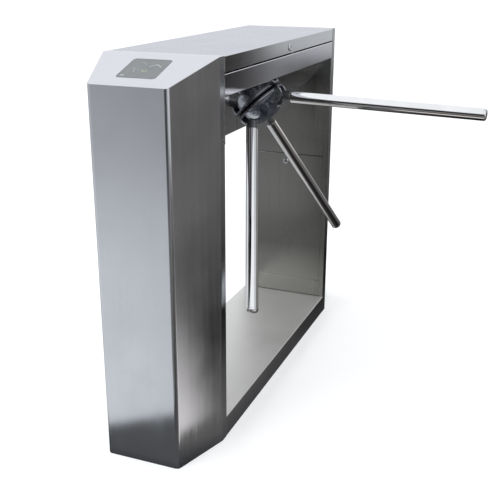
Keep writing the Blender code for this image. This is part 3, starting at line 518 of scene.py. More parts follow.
for end in ("front", "rear"):
    turn = (lambda o: o) if end == "front" else (lambda o: moved(o, FLIP))
    s = -1 if end == "front" else 1
    shell = turn(post_shell())
    paint_by_normal(shell, lambda c, n: n.z > 0.6 and c.z > 0.9, 1)
    # painted shade: the post's face along the passage gets the darkened inner steel
    paint_by_normal(shell, lambda c, n: abs(n.y) > 0.5 and n.y * s < 0 and abs(c.y) < INNER_Y + 0.004, 2)
    piece(shell, end + "_post", [STEEL_POST, STEEL_SLOPE, STEEL_INNER_SHADED], "cabinet", end + "_post_shell")

    # painted highlight: a bright silver strip down the front post's corner, where the post meets the box, stands in for
    # the light that edge catches; a small silver tab sits at its foot
    if end == "front":
        strip = box((HALF_W - 0.0002, -INNER_Y - 0.0024, 0.7920), (HALF_W + 0.0004, -INNER_Y - 0.0001, 0.9320))
        fuse(strip, box((HALF_W - 0.0002, -0.4585, 0.7790), (HALF_W + 0.0005, -INNER_Y - 0.0001, 0.7922)))
        soften(strip, 0.00025, 2, 30)
        piece(strip, "front_highlight_strip", SILVER, "cabinet", None)

    # smoked window with a lip behind the sheet
    w1 = rounded([(-0.0487, -0.0487), (0.0487, -0.0487), (0.0487, 0.0487), (-0.0487, 0.0487)], [0.0087] * 4, 10)
    w2 = rounded([(-0.0555, -0.0540), (0.0555, -0.0540), (0.0555, 0.0540), (-0.0555, 0.0540)], [0.010] * 4, 6)
    pane = prism(w1, -0.0030, 0.0, "z")
    soften(pane, 0.0006, 3, 40)
    fuse(pane, prism(w2, -0.0038, -SHEET - GAP, "z"))
    smooth(pane, 30)
    piece(turn(moved(pane, WINDOW)), end + "_window", WINDOW_MAT, "cabinet", end + "_display_window")

    # faint printed legend: an outline, two chevrons, a bar, a reader oval and a small lamp
    def flat(points, name, mat, z0=0.00002, z1=0.00022):
        ob = prism(points, z0, z1, "z")
        smooth(ob, 30)
        return piece(turn(moved(ob, WINDOW)), end + "_" + name, mat, "cabinet", None)

    def ring_of(points, inner):
        bm = bmesh.new()
        a = [bm.verts.new((p[0], p[1], 0.00002)) for p in points]
        b = [bm.verts.new((p[0], p[1], 0.00002)) for p in inner]
        c = [bm.verts.new((p[0], p[1], 0.00020)) for p in points]
        d = [bm.verts.new((p[0], p[1], 0.00020)) for p in inner]
        k = len(a)
        for i in range(k):
            j = (i + 1) % k
            bm.faces.new((a[i], a[j], c[j], c[i]))
            bm.faces.new((c[i], c[j], d[j], d[i]))
            bm.faces.new((d[i], d[j], b[j], b[i]))
            bm.faces.new((b[i], b[j], a[j], a[i]))
        return to_object("ring", bm)

    o1 = rounded([(-0.0445, -0.0445), (0.0445, -0.0445), (0.0445, 0.0445), (-0.0445, 0.0445)], [0.006] * 4, 6)
    o2 = rounded([(-0.0437, -0.0437), (0.0437, -0.0437), (0.0437, 0.0437), (-0.0437, 0.0437)], [0.0052] * 4, 6)
    piece(turn(moved(ring_of(o1, o2), WINDOW)), end + "_legend_frame", LEGEND_DIM, "cabinet", None)

    def chevron(cx, cy, half, thick, flip):
        f = -1 if flip else 1
        p = [(-half, 0), (0, f * half * 0.85), (half, 0), (half, -f * thick), (0, f * half * 0.85 - f * thick), (-half, -f * thick)]
        if flip:
            p = p[::-1]
        return [(cx + x, cy + y) for x, y in p]
    flat(chevron(0.022, 0.012, 0.015, 0.0045, False), "legend_chevron_a", LEGEND)
    flat(chevron(-0.016, 0.020, 0.014, 0.0042, False), "legend_chevron_b", LEGEND_DIM)
    flat([(-0.020, -0.010), (0.012, -0.010), (0.012, -0.0065), (-0.020, -0.0065)], "legend_bar", LEGEND_DIM)
    flat([(-0.019, -0.020), (-0.015, -0.020), (-0.024, 0.002), (-0.028, 0.002)], "legend_stroke", LEGEND_DIM)
    oval = [(-0.036 + 0.0062 * math.cos(2 * math.pi * i / 36), -0.0375 + 0.0036 * math.sin(2 * math.pi * i / 36)) for i in range(36)]
    flat(oval, "legend_oval", LEGEND)
    for i in range(3):
        for j in range(3):
            cx, cy = 0.0015 + i * 0.0042, -0.0155 + j * 0.0042
            if (i, j) == (1, 1):
                continue
            dot = [(cx + 0.0016 * math.cos(2 * math.pi * q / 16), cy + 0.0016 * math.sin(2 * math.pi * q / 16)) for q in range(16)]
            flat(dot, "legend_lamp_%d%d" % (i, j), LAMP)

    # inner panel and service panel
    fx = FRAME_X - 0.0005
    y0, yd = -INNER_Y, -INNER_Y - 0.0140
    pan = box((-fx, y0 - SHEET, SEAM_Z + 0.0010), (fx, y0, 0.9345))
    fuse(pan, box((-fx, yd, SEAM_Z + 0.0010), (fx, y0 - 0.0005, SEAM_Z + 0.0030)))
    for sx in (-1, 1):
        xs = sorted((sx * fx, sx * (fx - SHEET)))
        fuse(pan, box((xs[0], yd, SEAM_Z + 0.0010), (xs[1], y0 - 0.0005, 0.9345)))
    cut(pan, moved(rod(0.020, -0.02, 0.02, 48), along("y", (-0.085 * (1 if end == "front" else -1), y0, 0.845))))
    soften(pan, 0.0009, 3, 30)
    piece(turn(pan), end + "_upper_panel", STEEL_INNER_SHADED, "cabinet", end + "_inner_panel")

    foot_z = PLINTH_TOP + 0.0010
    pan = prism(rounded([(y0 - SHEET, foot_z), (y0, foot_z), (y0, 0.1150), (y0 - 0.0011, 0.1163), (y0, 0.1176), (y0, SEAM_Z - 0.0005),
                         (y0 - SHEET, SEAM_Z - 0.0005)], [0, 0.0004, 0.0004, 0.0004, 0.0004, 0.0018, 0], 5), -fx, fx, "x")
    for sx in (-1, 1):
        xs = sorted((sx * fx, sx * (fx - SHEET)))
        fuse(pan, box((xs[0], yd + 0.002, foot_z), (xs[1], y0 - 0.0025, SEAM_Z - 0.0005)))
    cut(pan, moved(rod(0.0083, -0.02, 0.02, 48), along("y", (0, y0, PANEL_LOCK_Z))))
    smooth(pan, 60)
    # painted highlight: the up-facing faces along the panel's top edge get the brighter post steel instead of the
    # shaded inner steel
    paint_by_normal(pan, lambda c, n: n.z > 0.35 and c.z > SEAM_Z - 0.0035 and c.y > y0 - SHEET - 0.0005, 1)
    piece(turn(pan), end + "_lower_panel", [STEEL_INNER_SHADED, STEEL_POST], end + "_panel", end + "_service_panel")

# ------------------------------------------------------------------ locks
def lock(name, m, body, node, depth, slot_axis, painted_shade_core=False):
    prof = [(0, 0.0019), (0.0056, 0.0019), (0.0060, 0.0022), (0.0062, 0.0027), (0.0066, 0.0030), (0.0076, 0.0029), (0.0086, 0.0022),
            (0.0093, 0.0012), (0.0095, 0.0003 + GAP), (0.0093, GAP), (0.0080, GAP), (0.0080, -depth), (0, -depth)]
    bar = lathe(prof, 72)
    slot_box = ((-0.0038, -0.0006, 0.0002), (0.0038, 0.0006, 0.006)) if slot_axis == "x" else ((-0.0006, -0.0038, 0.0002), (0.0006, 0.0038, 0.006))
    cut(bar, box(*slot_box))
    # painted shade: the shallow key slot's walls and floor are near black
    paint_by_normal(bar, lambda c, n: max(abs(c.x), abs(c.y)) < 0.0039 and min(abs(c.x), abs(c.y)) < 0.00061 and c.z < 0.00185 and c.z > -0.001, 1)
    paint_by_normal(bar, lambda c, n: math.hypot(c.x, c.y) < 0.0064 and c.z > 0.00185 and painted_shade_core, 2)
    smooth(bar, 28)
    return piece(moved(bar, m), name, [CHROME_LOCK, RECESS_SHADE, DARKSTEEL], body, node)

lock("lid_lock", along("x", (HALF_W, LID_LOCK_Y, LID_LOCK_Z)), "lid_lock", "lid_lock_barrel", 0.0137, "x")
# painted shade: the two panel locks, on the shaded inner faces, get a dark steel core face where the lid lock stays
# chrome
lock("front_panel_lock_face", along("y", (0, -INNER_Y, PANEL_LOCK_Z)), "front_panel_lock", "front_panel_lock_barrel", 0.0140, "y", True)
lock("rear_panel_lock_face", FLIP @ along("y", (0, -INNER_Y, PANEL_LOCK_Z)), "rear_panel_lock", "rear_panel_lock_barrel", 0.0140, "y", True)

# ------------------------------------------------------------------ base frame
base = box((-HALF_W, -INNER_Y + GAP, 0), (HALF_W, INNER_Y - GAP, PLINTH_TOP))
soften(base, 0.0022, 4, 30)
cut(base, box((-HALF_W + SHEET, -0.6, FOOT_T), (HALF_W - SHEET, 0.6, PLINTH_TOP - SHEET)))
for s in (-1, 1):
    foot = prism(post_outline(SHEET + 2 * GAP, -0.4200, (BEND_END - SHEET, BEND_SIDE - SHEET, 0.0), 6), 0, FOOT_T, "z")
    cut(foot, box((FRAME_X - 0.001, -INNER_Y - 0.0040, -0.01), (0.2, -INNER_Y + GAP, 0.01)),
        box((-0.2, -INNER_Y - 0.0040, -0.01), (-FRAME_X + 0.001, -INNER_Y + GAP, 0.01)))
    if s > 0:
        moved(foot, FLIP)
    fuse(base, foot)
    for sx in (-1, 1):
        cut(base, moved(rod(0.0065, -0.02, 0.02, 32), Matrix.Translation((sx * 0.055, s * 0.535, 0))))
smooth(tidy(base, 4e-6), 25)
paint_by_normal(base, lambda c, n: n.z < 0.5, 1)
piece(base, "plinth", [STEEL_PLINTH, STEEL_SIDE], "cabinet", "base_frame")

# ------------------------------------------------------------------ mechanism housing
def housing_outline(inset, top):
    a = HALF_W - inset
    def slant_x(z):
        return HALF_W - (SIDE_Z - z) * s46 / c46 - inset / c46
    z_a = SIDE_Z + (a - slant_x(SIDE_Z)) * c46 / s46
    z_b = BOTTOM_Z + inset
    return [(a, top), (a, z_a), (slant_x(z_b), z_b), (-a, z_b), (-a, top)]

hl = INNER_Y - GAP
hs = prism(rounded(housing_outline(0, RIM_Z), [0.0025, 0.003, 0.004, 0.003, 0.0025], 8), -hl, hl, "y")
cut(hs, prism(housing_outline(SHEET, RIM_Z - SHEET), -0.6, 0.6, "y"))
cut(hs, box((-HALF_W + RIM_W, -hl + 0.010, 0.93), (HALF_W - RIM_W, hl - 0.010, 0.95)))
cut(hs, moved(rod(0.0460, -0.02, 0.02, 64), ROTOR))
smooth(hs, 22)
slant_n = Vector((c46, 0, -s46))
paint_by_normal(hs, lambda c, n: n.dot(slant_n) > 0.97 and c.x > -0.06, 1)
paint_by_normal(hs, lambda c, n: abs(n.z) > 0.9, 2)
piece(hs, "mechanism_box", [STEEL_SIDE, MIRROR, STEEL_TOP], "cabinet", "mechanism_housing")

# ------------------------------------------------------------------ lid
lid = box((-HALF_W, -LID_Y, LID_Z), (HALF_W, LID_Y, HEIGHT))
bm = bmesh.new()
bm.from_mesh(lid.data)
edges = [e for e in bm.edges if all(v.co.z > HEIGHT - 1e-4 for v in e.verts) and abs(e.verts[0].co.x - e.verts[1].co.x) < 1e-4]
bmesh.ops.bevel(bm, geom=edges, offset=0.003, segments=8, profile=0.5, affect='EDGES')
bm.to_mesh(lid.data)
bm.free()
cut(lid, box((-HALF_W + SHEET, -LID_Y + SHEET, LID_Z - 0.01), (HALF_W - SHEET, LID_Y - SHEET, HEIGHT - SHEET)))
cut(lid, moved(rod(0.0083, -0.02, 0.02, 48), along("x", (HALF_W, LID_LOCK_Y, LID_LOCK_Z))))
soften(lid, 0.0007, 2, 40)
paint_by_normal(lid, lambda c, n: n.z > 0.8, 1)
piece(lid, "lid", [STEEL_LID, STEEL_TOP], "lid", "lid_cover")

# ------------------------------------------------------------------ hub: a casting with soft corners
def half_disc(r, seg, cx=0.0535, cz=0.0145):
    ux, uz, bx, bz = 0.967, -0.257, 0.257, 0.967
    out = []
    for i in range(seg + 1):
        a = math.pi * i / seg
        out.append((cx + ux * r * math.cos(a) + bx * r * math.sin(a), cz + uz * r * math.cos(a) + bz * r * math.sin(a)))
    return out

dome = [(0, 0.0030), (HUB_R, 0.0030), (HUB_R, 0.0074), (HUB_R, 0.0085), (0.0685, 0.0100), (0.0660, 0.0110),
        (0.0655, 0.0180), (0.0640, 0.0228), (0.0600, 0.0310), (0.0535, 0.0385), (0.0460, 0.0440),
        (0.0390, 0.0482), (0.0320, 0.0510), (0.0240, 0.0535), (0.0160, 0.0550), (0.0080, 0.0558), (0, 0.0560)]
hub = lathe(dome, 96)
cheek = [(0.0770, 0.0032)] + half_disc(0.0247, 32) + [(0.0240, 0.0032)]
cc, cu, cb = Vector((0.0535, 0.0145)), Vector((0.967, -0.257)), Vector((0.257, 0.967))
lo_in, lo_out = cc - cu * 0.0252 - cb * 0.0005, cc + cu * 0.0700 - cb * 0.0005
flat_p = [(lo_in.x, lo_in.y), (lo_out.x, lo_out.y), (lo_out.x, 0.12), (lo_in.x, 0.12)]
for k in range(3):
    rot = Matrix.Rotation(2 * math.pi * k / 3, 4, 'Z')
    cut(hub, moved(prism(flat_p, CHEEK_W - 0.0005, 0.09, "y"), rot), moved(prism(flat_p, -0.09, -CHEEK_W + 0.0005, "y"), rot))
for k in range(3):
    fuse(hub, moved(prism(cheek, -CHEEK_W, CHEEK_W, "y"), Matrix.Rotation(2 * math.pi * k / 3, 4, 'Z')))
for k in range(3):
    rot = Matrix.Rotation(2 * math.pi * k / 3, 4, 'Z')
    cut(hub, moved(box((0.0375, -SLOT_W, 0.0090), (0.12, SLOT_W, 0.12)), rot),
        moved(box((0.0372, -0.0167, 0.0372), (0.12, 0.0167, 0.12)), rot),
        moved(moved(rod(0.0053, -0.05, 0.05, 32), along("y", (PIVOT_R, 0, PIVOT_Z))), rot))
cut(hub, rod(SHAFT_R + 0.0004, -0.01, 0.0300, 48))
soften(hub, 0.0006, 2, 30)
# painted highlight: the outer edge faces of the flange get satin silver, so the black casting shows a bright rim
paint_by_normal(hub, lambda c, n: math.hypot(c.x, c.y) > 0.0664 and 0.0075 < c.z < 0.0112, 1)
for k in range(3):      # turned rims of the cheeks
    back = Matrix.Rotation(-2 * math.pi * k / 3, 3, 'Z')
    for p in hub.data.polygons:
        c, n = back @ p.center, back @ p.normal
        if c.x > 0.02 and SLOT_W + 0.0002 < abs(c.y) < CHEEK_W + 0.0003 and abs(n.y) < 0.8 and abs((Vector((c.x, c.z)) - cc).length - 0.0247) < 0.0010 and (Vector((c.x, c.z)) - cc).dot(cb) > 0:
            p.material_index = 2
piece(moved(hub, ROTOR), "hub", [CAST, SILVER, EDGE], "rotor", "hub_body")

# ------------------------------------------------------------------ arms
def tube_profile():
    e = 0.0006
    return [(TUBE_R - e, TUBE_A), (TUBE_R - e * 0.3, TUBE_A + e * 0.3), (TUBE_R, TUBE_A + e), (TUBE_R, TUBE_A + 0.002),
            (TUBE_R, TUBE_B - 0.002), (TUBE_R, TUBE_B - 0.0003), (TUBE_R - 0.0003, TUBE_B), (TUBE_RI, TUBE_B), (TUBE_RI, TUBE_A)]

for k in range(3):
    turn_m, arm_m = ARMS[k]
    num = k + 1
    body = "arm_%d" % num
    tube = smooth(lathe(tube_profile(), 96), 30)
    piece(moved(tube, arm_m), "arm_%d_bar" % num, CHROME, body, "arm_%d_tube" % num)
    cap = [(0, TUBE_B - 0.014), (TUBE_RI - GAP, TUBE_B - 0.014), (TUBE_RI - GAP, TUBE_B + GAP), (TUBE_R - 0.0002, TUBE_B + GAP),
           (TUBE_R, TUBE_B + GAP + 0.0002)]
    for i in range(13):
        q = math.radians(78 * i / 12)
        cap.append((TUBE_R - 0.0065 + 0.0065 * math.cos(q), TUBE_B + 0.0015 + 0.0065 * math.sin(q)))
    zt = TUBE_B + 0.0015 + 0.0065 * math.sin(math.radians(78))
    rt = TUBE_R - 0.0065 + 0.0065 * math.cos(math.radians(78))
    for i in range(1, 6):
        f = 1 - i / 6
        cap.append((rt * f, ARM_END - (ARM_END - zt) * f * f))
    cap.append((0, ARM_END))
    piece(moved(smooth(lathe(cap, 96), 30), arm_m), "arm_%d_cap" % num, CHROME, body, "arm_%d_end_cap" % num)

    # root: tang with a round end, a shouldered stub and the plug inside the tube
    tang = moved(rod(0.0140, -0.0120, 0.0120, 64), along("y"))
    fuse(tang, box((-0.0140, -0.0120, 0), (0.0140, 0.0120, 0.0180)))
    fuse(tang, lathe([(0, 0.0162), (0.0143, 0.0162), (0.0155, 0.0174), (0.0155, 0.0375), (0.0149, 0.0383), (0.0149, TUBE_A - GAP), (0, TUBE_A - GAP)], 72),
         rod(TUBE_RI - GAP, 0.030, 0.072, 72))
    cut(tang, moved(rod(0.0053, -0.03, 0.03, 32), along("y")))
    soften(tang, 0.0005, 2, 35)
    piece(moved(tang, arm_m), "arm_%d_stub" % num, DARKSTEEL, body, "arm_%d_root" % num)

    # pivot: pin with a half-moon cover plate and a screw at each end
    pivot = moved(rod(0.0050, -CHEEK_W - 0.0010, CHEEK_W + 0.0010, 32), along("y", (PIVOT_R, 0, PIVOT_Z)))
    for s in (-1, 1):
        lo, hi = sorted((s * (CHEEK_W + GAP), s * (CHEEK_W + 0.0023)))
        fuse(pivot, prism(half_disc(0.0240, 40), lo, hi, "y"))
        screw = along("y", (PIVOT_R, s * (CHEEK_W + 0.0023), PIVOT_Z)) @ Matrix.Rotation(0 if s > 0 else math.pi, 4, 'X')
        cut(pivot, moved(lathe([(0.0064, -0.0008), (0.0064, 0.002), (0.0050, 0.002), (0.0050, -0.0008)], 48), screw))
        hexa = [(0.0021 * math.cos(math.radians(60 * i)), 0.0021 * math.sin(math.radians(60 * i))) for i in range(6)]
        cut(pivot, moved(prism(hexa, -0.0014, 0.002, "z"), screw))
    soften(pivot, 0.00035, 2, 35)
    # painted shade: the screw's ring groove and hex socket are near black
    paint_by_normal(pivot, lambda c, n: math.hypot(c.x - PIVOT_R, c.z - PIVOT_Z) < 0.0066 and abs(c.y) < CHEEK_W + 0.0021, 1)
    piece(moved(pivot, turn_m), "arm_%d_cover_plates" % num, [PLATE, RECESS_SHADE], "rotor", "arm_%d_pivot" % num)

# ------------------------------------------------------------------ CAD nodes that keep their shape
LOOKS = {"shaft_seal_ring": RUBBER, "outer_bearing": MACHINED, "inner_bearing": MACHINED, "bearing_housing": CAST,
         "main_shaft": MACHINED, "lock_disc": MACHINED, "index_cam": MACHINED, "shaft_gear": BRASS, "damper_pinion": BRASS,
         "encoder_disc": BLACKP, "counting_sensor": BLACKP, "solenoid_a_body": COIL, "solenoid_b_body": COIL,
         "solenoid_a_plunger": MACHINED, "solenoid_b_plunger": MACHINED, "damper_body": COIL, "mounting_plate": ZINC,
         "index_lever": ZINC, "lid_hinge_leaf_fixed": ZINC, "lid_hinge_leaf_moving": ZINC, "lid_hinge_pin": MACHINED,
         "lid_strike": ZINC, "lid_lock_cam": ZINC, "front_panel_lock_cam": ZINC, "rear_panel_lock_cam": ZINC,
         "controller_board": BOARD, "front_display_board": BOARD, "rear_display_board": BOARD, "power_supply": ZINC,
         "anchor_bolt_1": ZINC, "anchor_bolt_2": ZINC, "anchor_bolt_3": ZINC, "anchor_bolt_4": ZINC}
for n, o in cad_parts.items():
    if n in LOOKS:
        o.data.materials.clear()
        o.data.materials.append(LOOKS[n])
    elif not o.hide_render:
        raise ValueError("no look for " + n)

# ------------------------------------------------------------------ stage: floor, light and camera
def stage_plane(name, size, z, mat):
    bm = bmesh.new()
    vs = [bm.verts.new((x, y, z)) for x, y in ((-size, -size), (size, -size), (size, size), (-size, size))]
    bm.faces.new(vs)
    me = bpy.data.meshes.new(name)
    bm.to_mesh(me)
    bm.free()
    ob = bpy.data.objects.new(name, me)
    scene.collection.objects.link(ob)
    ob.data.materials.append(mat)
    return ob

fm = Mat("floor")
fm.set(Base_Color=fm.mix(fm.noise((3, 3, 3)), (0.66, 0.66, 0.66), (0.68, 0.68, 0.68)), Roughness=0.9)
fm.b.inputs["Emission Color"].default_value = (1, 1, 1, 1)
fm.b.inputs["Emission Strength"].default_value = 0.36
fm.b.inputs["Specular IOR Level"].default_value = 0.1
floor = stage_plane("floor", 60, 0.0, fm.m)
floor.visible_glossy = False

def N(op, *args, clamp=False):
    n = nt.nodes.new("ShaderNodeMath")
    n.operation = op
    n.use_clamp = clamp
    for i, a in enumerate(args):
        if isinstance(a, (int, float)):
            n.inputs[i].default_value = a
        else:
            nt.links.new(a, n.inputs[i])
    return n.outputs[0]

def ramp(sock, a, b, lo, hi):
    n = nt.nodes.new("ShaderNodeMapRange")
    n.interpolation_type = 'SMOOTHSTEP'
    n.inputs["From Min"].default_value = a
    n.inputs["From Max"].default_value = b
    n.inputs["To Min"].default_value = lo
    n.inputs["To Max"].default_value = hi
    nt.links.new(sock, n.inputs["Value"])
    return n.outputs["Result"]

def compass(angle_deg, stops):
    """Level round the compass; 0 along +Y, positive towards +X."""
    n = nt.nodes.new("ShaderNodeValToRGB")
    el = n.color_ramp.elements
    while len(el) > 1:
        el.remove(el[-1])
    for i, (a, v) in enumerate(stops):
        e = el[0] if i == 0 else el.new((a + 180) / 360)
        e.position = (a + 180) / 360
        e.color = (v, v, v, 1)
    f = N('DIVIDE', N('ADD', angle_deg, 180.0), 360.0)
    nt.links.new(f, n.inputs["Fac"])
    s = nt.nodes.new("ShaderNodeSeparateColor")
    nt.links.new(n.outputs["Color"], s.inputs[0])
    return s.outputs[0]

def tinted(target, warm):
    """Cool light, warmer where warm is 1."""
    n = nt.nodes.new("ShaderNodeMix")
    n.data_type = 'RGBA'
    ins = [q for q in n.inputs if q.type == 'RGBA']
    ins[0].default_value = (0.955, 0.975, 1.0, 1)
    ins[1].default_value = (1.06, 0.945, 0.87, 1)
    nt.links.new(warm, n.inputs[0])
    nt.links.new([q for q in n.outputs if q.type == 'RGBA'][0], target)

# painted reflection: a glowing card under the floor, seen only in glossy rays, paints what polished steel sees of the
# floor close by: darker next to the cabinet, a shadow line in front, a bright wedge on the passage side
rf = bpy.data.materials.new("floor_in_reflections")
rf.use_nodes = True
nt = rf.node_tree
nt.nodes.clear()
out = nt.nodes.new("ShaderNodeOutputMaterial")
em = nt.nodes.new("ShaderNodeEmission")
nt.links.new(em.outputs[0], out.inputs["Surface"])
geo = nt.nodes.new("ShaderNodeNewGeometry")
sep = nt.nodes.new("ShaderNodeSeparateXYZ")
nt.links.new(geo.outputs["Position"], sep.inputs[0])
X, Y = sep.outputs["X"], sep.outputs["Y"]
dx = N('MAXIMUM', N('SUBTRACT', N('ABSOLUTE', X), 0.1485), 0.0)
dy = N('MAXIMUM', N('SUBTRACT', N('ABSOLUTE', Y), 0.6185), 0.0)
dist = N('SQRT', N('ADD', N('MULTIPLY', dx, dx), N('MULTIPLY', dy, dy)))
near = ramp(dist, 0.03, 0.11, 0.07, 1.0)
# in front: bright floor behind a slanted shadow line
line = N('ADD', N('MULTIPLY', N('ADD', X, 0.15), 0.616), N('MULTIPLY', N('ADD', Y, 0.76), 0.787))
front_lit = N('MULTIPLY', ramp(line, -0.022, 0.022, 1.0, 0.12), ramp(Y, -3.0, -0.9, 0.76, 0.93))
is_front = ramp(Y, -0.66, -0.60, 1.0, 0.0)
# passage side: mostly dark, a bright wedge of floor that narrows and fades further out
def curve(x, pts):
    total = None
    for (x0, y0), (x1, y1) in zip(pts, pts[1:]):
        step = ramp(x, x0, x1, 0.0, y1 - y0)
        total = step if total is None else N('ADD', total, step)
    return N('ADD', total, pts[0][1])

fx, fy = N('SUBTRACT', X, 0.17), N('ADD', Y, 0.57)
out_along = N('ADD', N('MULTIPLY', fx, 0.888), N('MULTIPLY', fy, 0.461))
out_side = N('ADD', N('MULTIPLY', fx, -0.461), N('MULTIPLY', fy, 0.888))
across = N('DIVIDE', out_side, N('ADD', 0.10, N('MULTIPLY', N('MAXIMUM', out_along, 0.0), 0.058)))
across = N('MULTIPLY', N('MAXIMUM', across, 0.0), curve(out_along, [(0.19, 1.15), (0.43, 1.9), (0.72, 2.9)]))
wedge = N('MULTIPLY', curve(across, [(0.0, 1.0), (0.25, 0.82), (0.4, 0.55), (0.6, 0.28), (0.8, 0.12), (1.1, 0.03), (1.4, 0.0)]),
          curve(out_along, [(0.1, 0.95), (0.43, 0.82), (0.56, 0.74), (0.72, 0.58), (0.89, 0.32), (1.18, 0.22), (1.66, 0.11), (2.74, 0.10), (4.9, 0.06)]))
edge_of_shade = N('SUBTRACT', N('MULTIPLY', N('SUBTRACT', X, 0.265), 0.933), N('MULTIPLY', N('ADD', Y, 0.455), 0.361))
patch = N('MULTIPLY', wedge, ramp(edge_of_shade, 0.000, 0.022, 0.0, 1.0))
base_lit = curve(out_along, [(0.0, 0.145), (0.19, 0.125), (0.30, 0.10), (0.43, 0.055), (0.56, 0.025), (0.72, 0.010), (0.89, 0.012), (1.18, 0.030), (1.66, 0.11), (2.74, 0.145), (4.9, 0.245)])
side_lit = N('ADD', base_lit, patch)
is_side = ramp(X, 0.10, 0.22, 0.0, 1.0)
other = N('MULTIPLY', near, ramp(Y, 0.45, 0.80, 0.62, 0.14))
lv = N('ADD', N('MULTIPLY', side_lit, is_side), N('MULTIPLY', other, N('SUBTRACT', 1.0, is_side)))
lv = N('ADD', N('MULTIPLY', front_lit, is_front), N('MULTIPLY', lv, N('SUBTRACT', 1.0, is_front)))
bend = N('MULTIPLY', N('ARCTAN2', N('SUBTRACT', X, 0.10), N('ADD', Y, 0.60)), 180 / math.pi)
bands = compass(bend, [(-180, 0.22), (-163, 0.22), (-157, 1.0), (100, 1.0), (110, 1.05), (132, 1.05), (146, 0.22), (180, 0.22)])
lv = N('MULTIPLY', lv, N('ADD', 1.0, N('MULTIPLY', N('SUBTRACT', bands, 1.0), ramp(Y, -1.2, -0.7, 1.0, 0.0))))
nt.links.new(lv, em.inputs["Strength"])
tinted(em.inputs["Color"], N('MULTIPLY', is_side, 0.55))
rf.cycles.emission_sampling = 'NONE'
mirror_floor = stage_plane("floor_in_reflections", 3.0, -0.004, rf)
mirror_floor.visible_camera = False
mirror_floor.visible_diffuse = False
mirror_floor.visible_shadow = False
mirror_floor.visible_transmission = False
mirror_floor.visible_volume_scatter = False

# the room further out
world = bpy.data.worlds.new("studio")
scene.world = world
world.use_nodes = True
nt = world.node_tree
nt.nodes.clear()
wo = nt.nodes.new("ShaderNodeOutputWorld")
bg = nt.nodes.new("ShaderNodeBackground")
nt.links.new(bg.outputs[0], wo.inputs["Surface"])
tc = nt.nodes.new("ShaderNodeTexCoord")
sep = nt.nodes.new("ShaderNodeSeparateXYZ")
nt.links.new(tc.outputs["Generated"], sep.inputs[0])
WX, WY, WZ = sep.outputs["X"], sep.outputs["Y"], sep.outputs["Z"]
az = N('MULTIPLY', N('ARCTAN2', WX, WY), 180 / math.pi)
el = N('MULTIPLY', N('ARCSINE', WZ), 180 / math.pi)
low = compass(az, [(-180, 0.14), (-163, 0.14), (-157, 0.60), (-147, 0.66), (-120, 0.66), (-60, 0.60), (-35, 0.50), (0, 0.55),
                   (14, 0.68), (17.6, 0.62), (19.5, 0.61), (20.7, 0.37), (21.4, 0.06), (28, 0.03), (36, 0.08), (50, 0.17), (65, 0.16), (85, 0.18),
                   (92, 0.60), (104, 0.95), (132, 0.95), (142, 0.50), (150, 0.14), (180, 0.14)])
behind = N('MULTIPLY', ramp(az, -70.0, -50.0, 0.0, 1.0), ramp(az, 17.0, 24.0, 1.0, 0.0))
low = N('MULTIPLY', low, N('ADD', 1.0, N('MULTIPLY', behind, ramp(el, -7.0, -5.2, -0.72, 0.05))))
frontal = ramp(N('ABSOLUTE', az), 112.0, 140.0, 0.0, 1.0)
low = N('MULTIPLY', low, N('ADD', 1.0, N('MULTIPLY', frontal, ramp(el, -18.0, -9.0, 0.15, -0.16))))
deeper = N('MULTIPLY', ramp(el, -14.0, -9.0, -0.80, 0.0), ramp(az, -40.0, -28.0, 0.4, 1.0))
low = N('MULTIPLY', low, N('ADD', 1.0, N('MULTIPLY', behind, deeper)))
passage = N('MULTIPLY', ramp(az, 18.0, 28.0, 0.0, 1.0), ramp(az, 90.0, 110.0, 1.0, 0.0))
high = ramp(el, 0.0, 25.0, 0.95, 1.08)
high = N('MULTIPLY', high, N('SUBTRACT', 1.0, N('MULTIPLY', passage, ramp(el, 10.0, 32.0, 0.88, 0.38))))
dark_band = N('MULTIPLY', N('MULTIPLY', ramp(el, -4.5, -1.5, 0.0, 1.0), ramp(el, 4.0, 9.0, 1.0, 0.0)), frontal)
is_up = ramp(el, -1.5, 1.5, 0.0, 1.0)
# a darker patch of room on the left, a dimmer one behind on the right, a bright strip at the skyline
left = N('MULTIPLY', N('MULTIPLY', ramp(az, -138.0, -126.0, 0.0, 1.0), ramp(az, -96.0, -86.0, 1.0, 0.0)), N('MULTIPLY', ramp(el, 14.0, 20.0, 0.0, 1.0), ramp(el, 46.0, 54.0, 1.0, 0.0)))
high = N('MULTIPLY', high, N('SUBTRACT', 1.0, N('MULTIPLY', left, 0.80)))
facing = ramp(N('ABSOLUTE', az), 154.0, 162.0, 0.0, 1.0)
face_band = N('MULTIPLY', N('MULTIPLY', ramp(el, -16.0, -11.0, 0.0, 1.0), ramp(el, 12.0, 18.0, 1.0, 0.0)), facing)
strip = N('MULTIPLY', N('MULTIPLY', ramp(az, 25.0, 30.0, 0.0, 1.0), ramp(az, 50.0, 60.0, 1.0, 0.0)), N('MULTIPLY', ramp(el, -2.5, -1.0, 0.0, 1.0), ramp(el, 1.5, 3.5, 1.0, 0.0)))
env = N('ADD', N('MULTIPLY', high, is_up), N('MULTIPLY', low, N('SUBTRACT', 1.0, is_up)))
env = N('MULTIPLY', env, N('SUBTRACT', 1.0, N('MULTIPLY', dark_band, 0.80)))
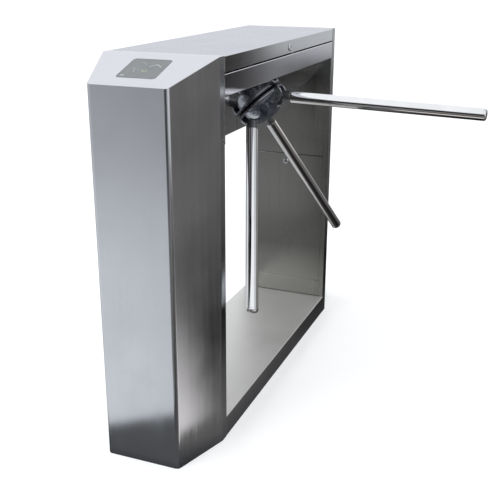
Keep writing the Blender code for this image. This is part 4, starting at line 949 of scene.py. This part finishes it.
env = N('MULTIPLY', env, N('SUBTRACT', 1.0, N('MULTIPLY', face_band, 0.80)))
env = N('ADD', env, N('MULTIPLY', strip, 0.65))
tinted(bg.inputs["Color"], N('MULTIPLY', passage, ramp(el, 4.0, 16.0, 0.6, 0.0)))
path = nt.nodes.new("ShaderNodeLightPath")
seen = path.outputs["Is Camera Ray"]
env = N('ADD', N('MULTIPLY', env, N('SUBTRACT', 1.0, seen)), N('MULTIPLY', seen, 1.05))
nt.links.new(env, bg.inputs["Strength"])

def area(name, loc, target, size, power, color=(1, 1, 1)):
    l = bpy.data.lights.new(name, 'AREA')
    l.shape = 'RECTANGLE'
    l.size, l.size_y = size
    l.energy = power
    l.color = color
    o = bpy.data.objects.new(name, l)
    scene.collection.objects.link(o)
    o.location = loc
    o.rotation_mode = 'QUATERNION'
    o.rotation_quaternion = (Vector(target) - Vector(loc)).to_track_quat('-Z', 'Y')
    o.visible_glossy = False
    return o

area("key", (-1.4, -2.6, 3.0), (0, 0, 0.5), (1.6, 1.6), 30)
sky = bpy.data.lights.new("sky", 'SUN')
sky.energy = 0.95
sky.angle = math.radians(150)
sky_ob = bpy.data.objects.new("sky", sky)
scene.collection.objects.link(sky_ob)
sky_ob.visible_glossy = False

cam_d = bpy.data.cameras.new("camera")
cam = bpy.data.objects.new("camera", cam_d)
scene.collection.objects.link(cam)
yaw, pitch, roll = math.radians(21.518), math.radians(19.577), math.radians(0.263)
d = Vector((-math.sin(yaw) * math.cos(pitch), math.cos(yaw) * math.cos(pitch), -math.sin(pitch)))
r = d.cross(Vector((0, 0, 1))).normalized()
u = r.cross(d)
r2 = r * math.cos(roll) + u * math.sin(roll)
u2 = -r * math.sin(roll) + u * math.cos(roll)
m = Matrix((r2, u2, -d)).transposed().to_4x4()
m.translation = Vector((0.8806, -2.1311, 1.1767))
cam.matrix_world = m
cam_d.sensor_width = 36
cam_d.lens = 58.27
cam_d.clip_start, cam_d.clip_end = 0.05, 300
scene.camera = cam

scene.view_settings.view_transform = 'Standard'
scene.view_settings.look = 'None'
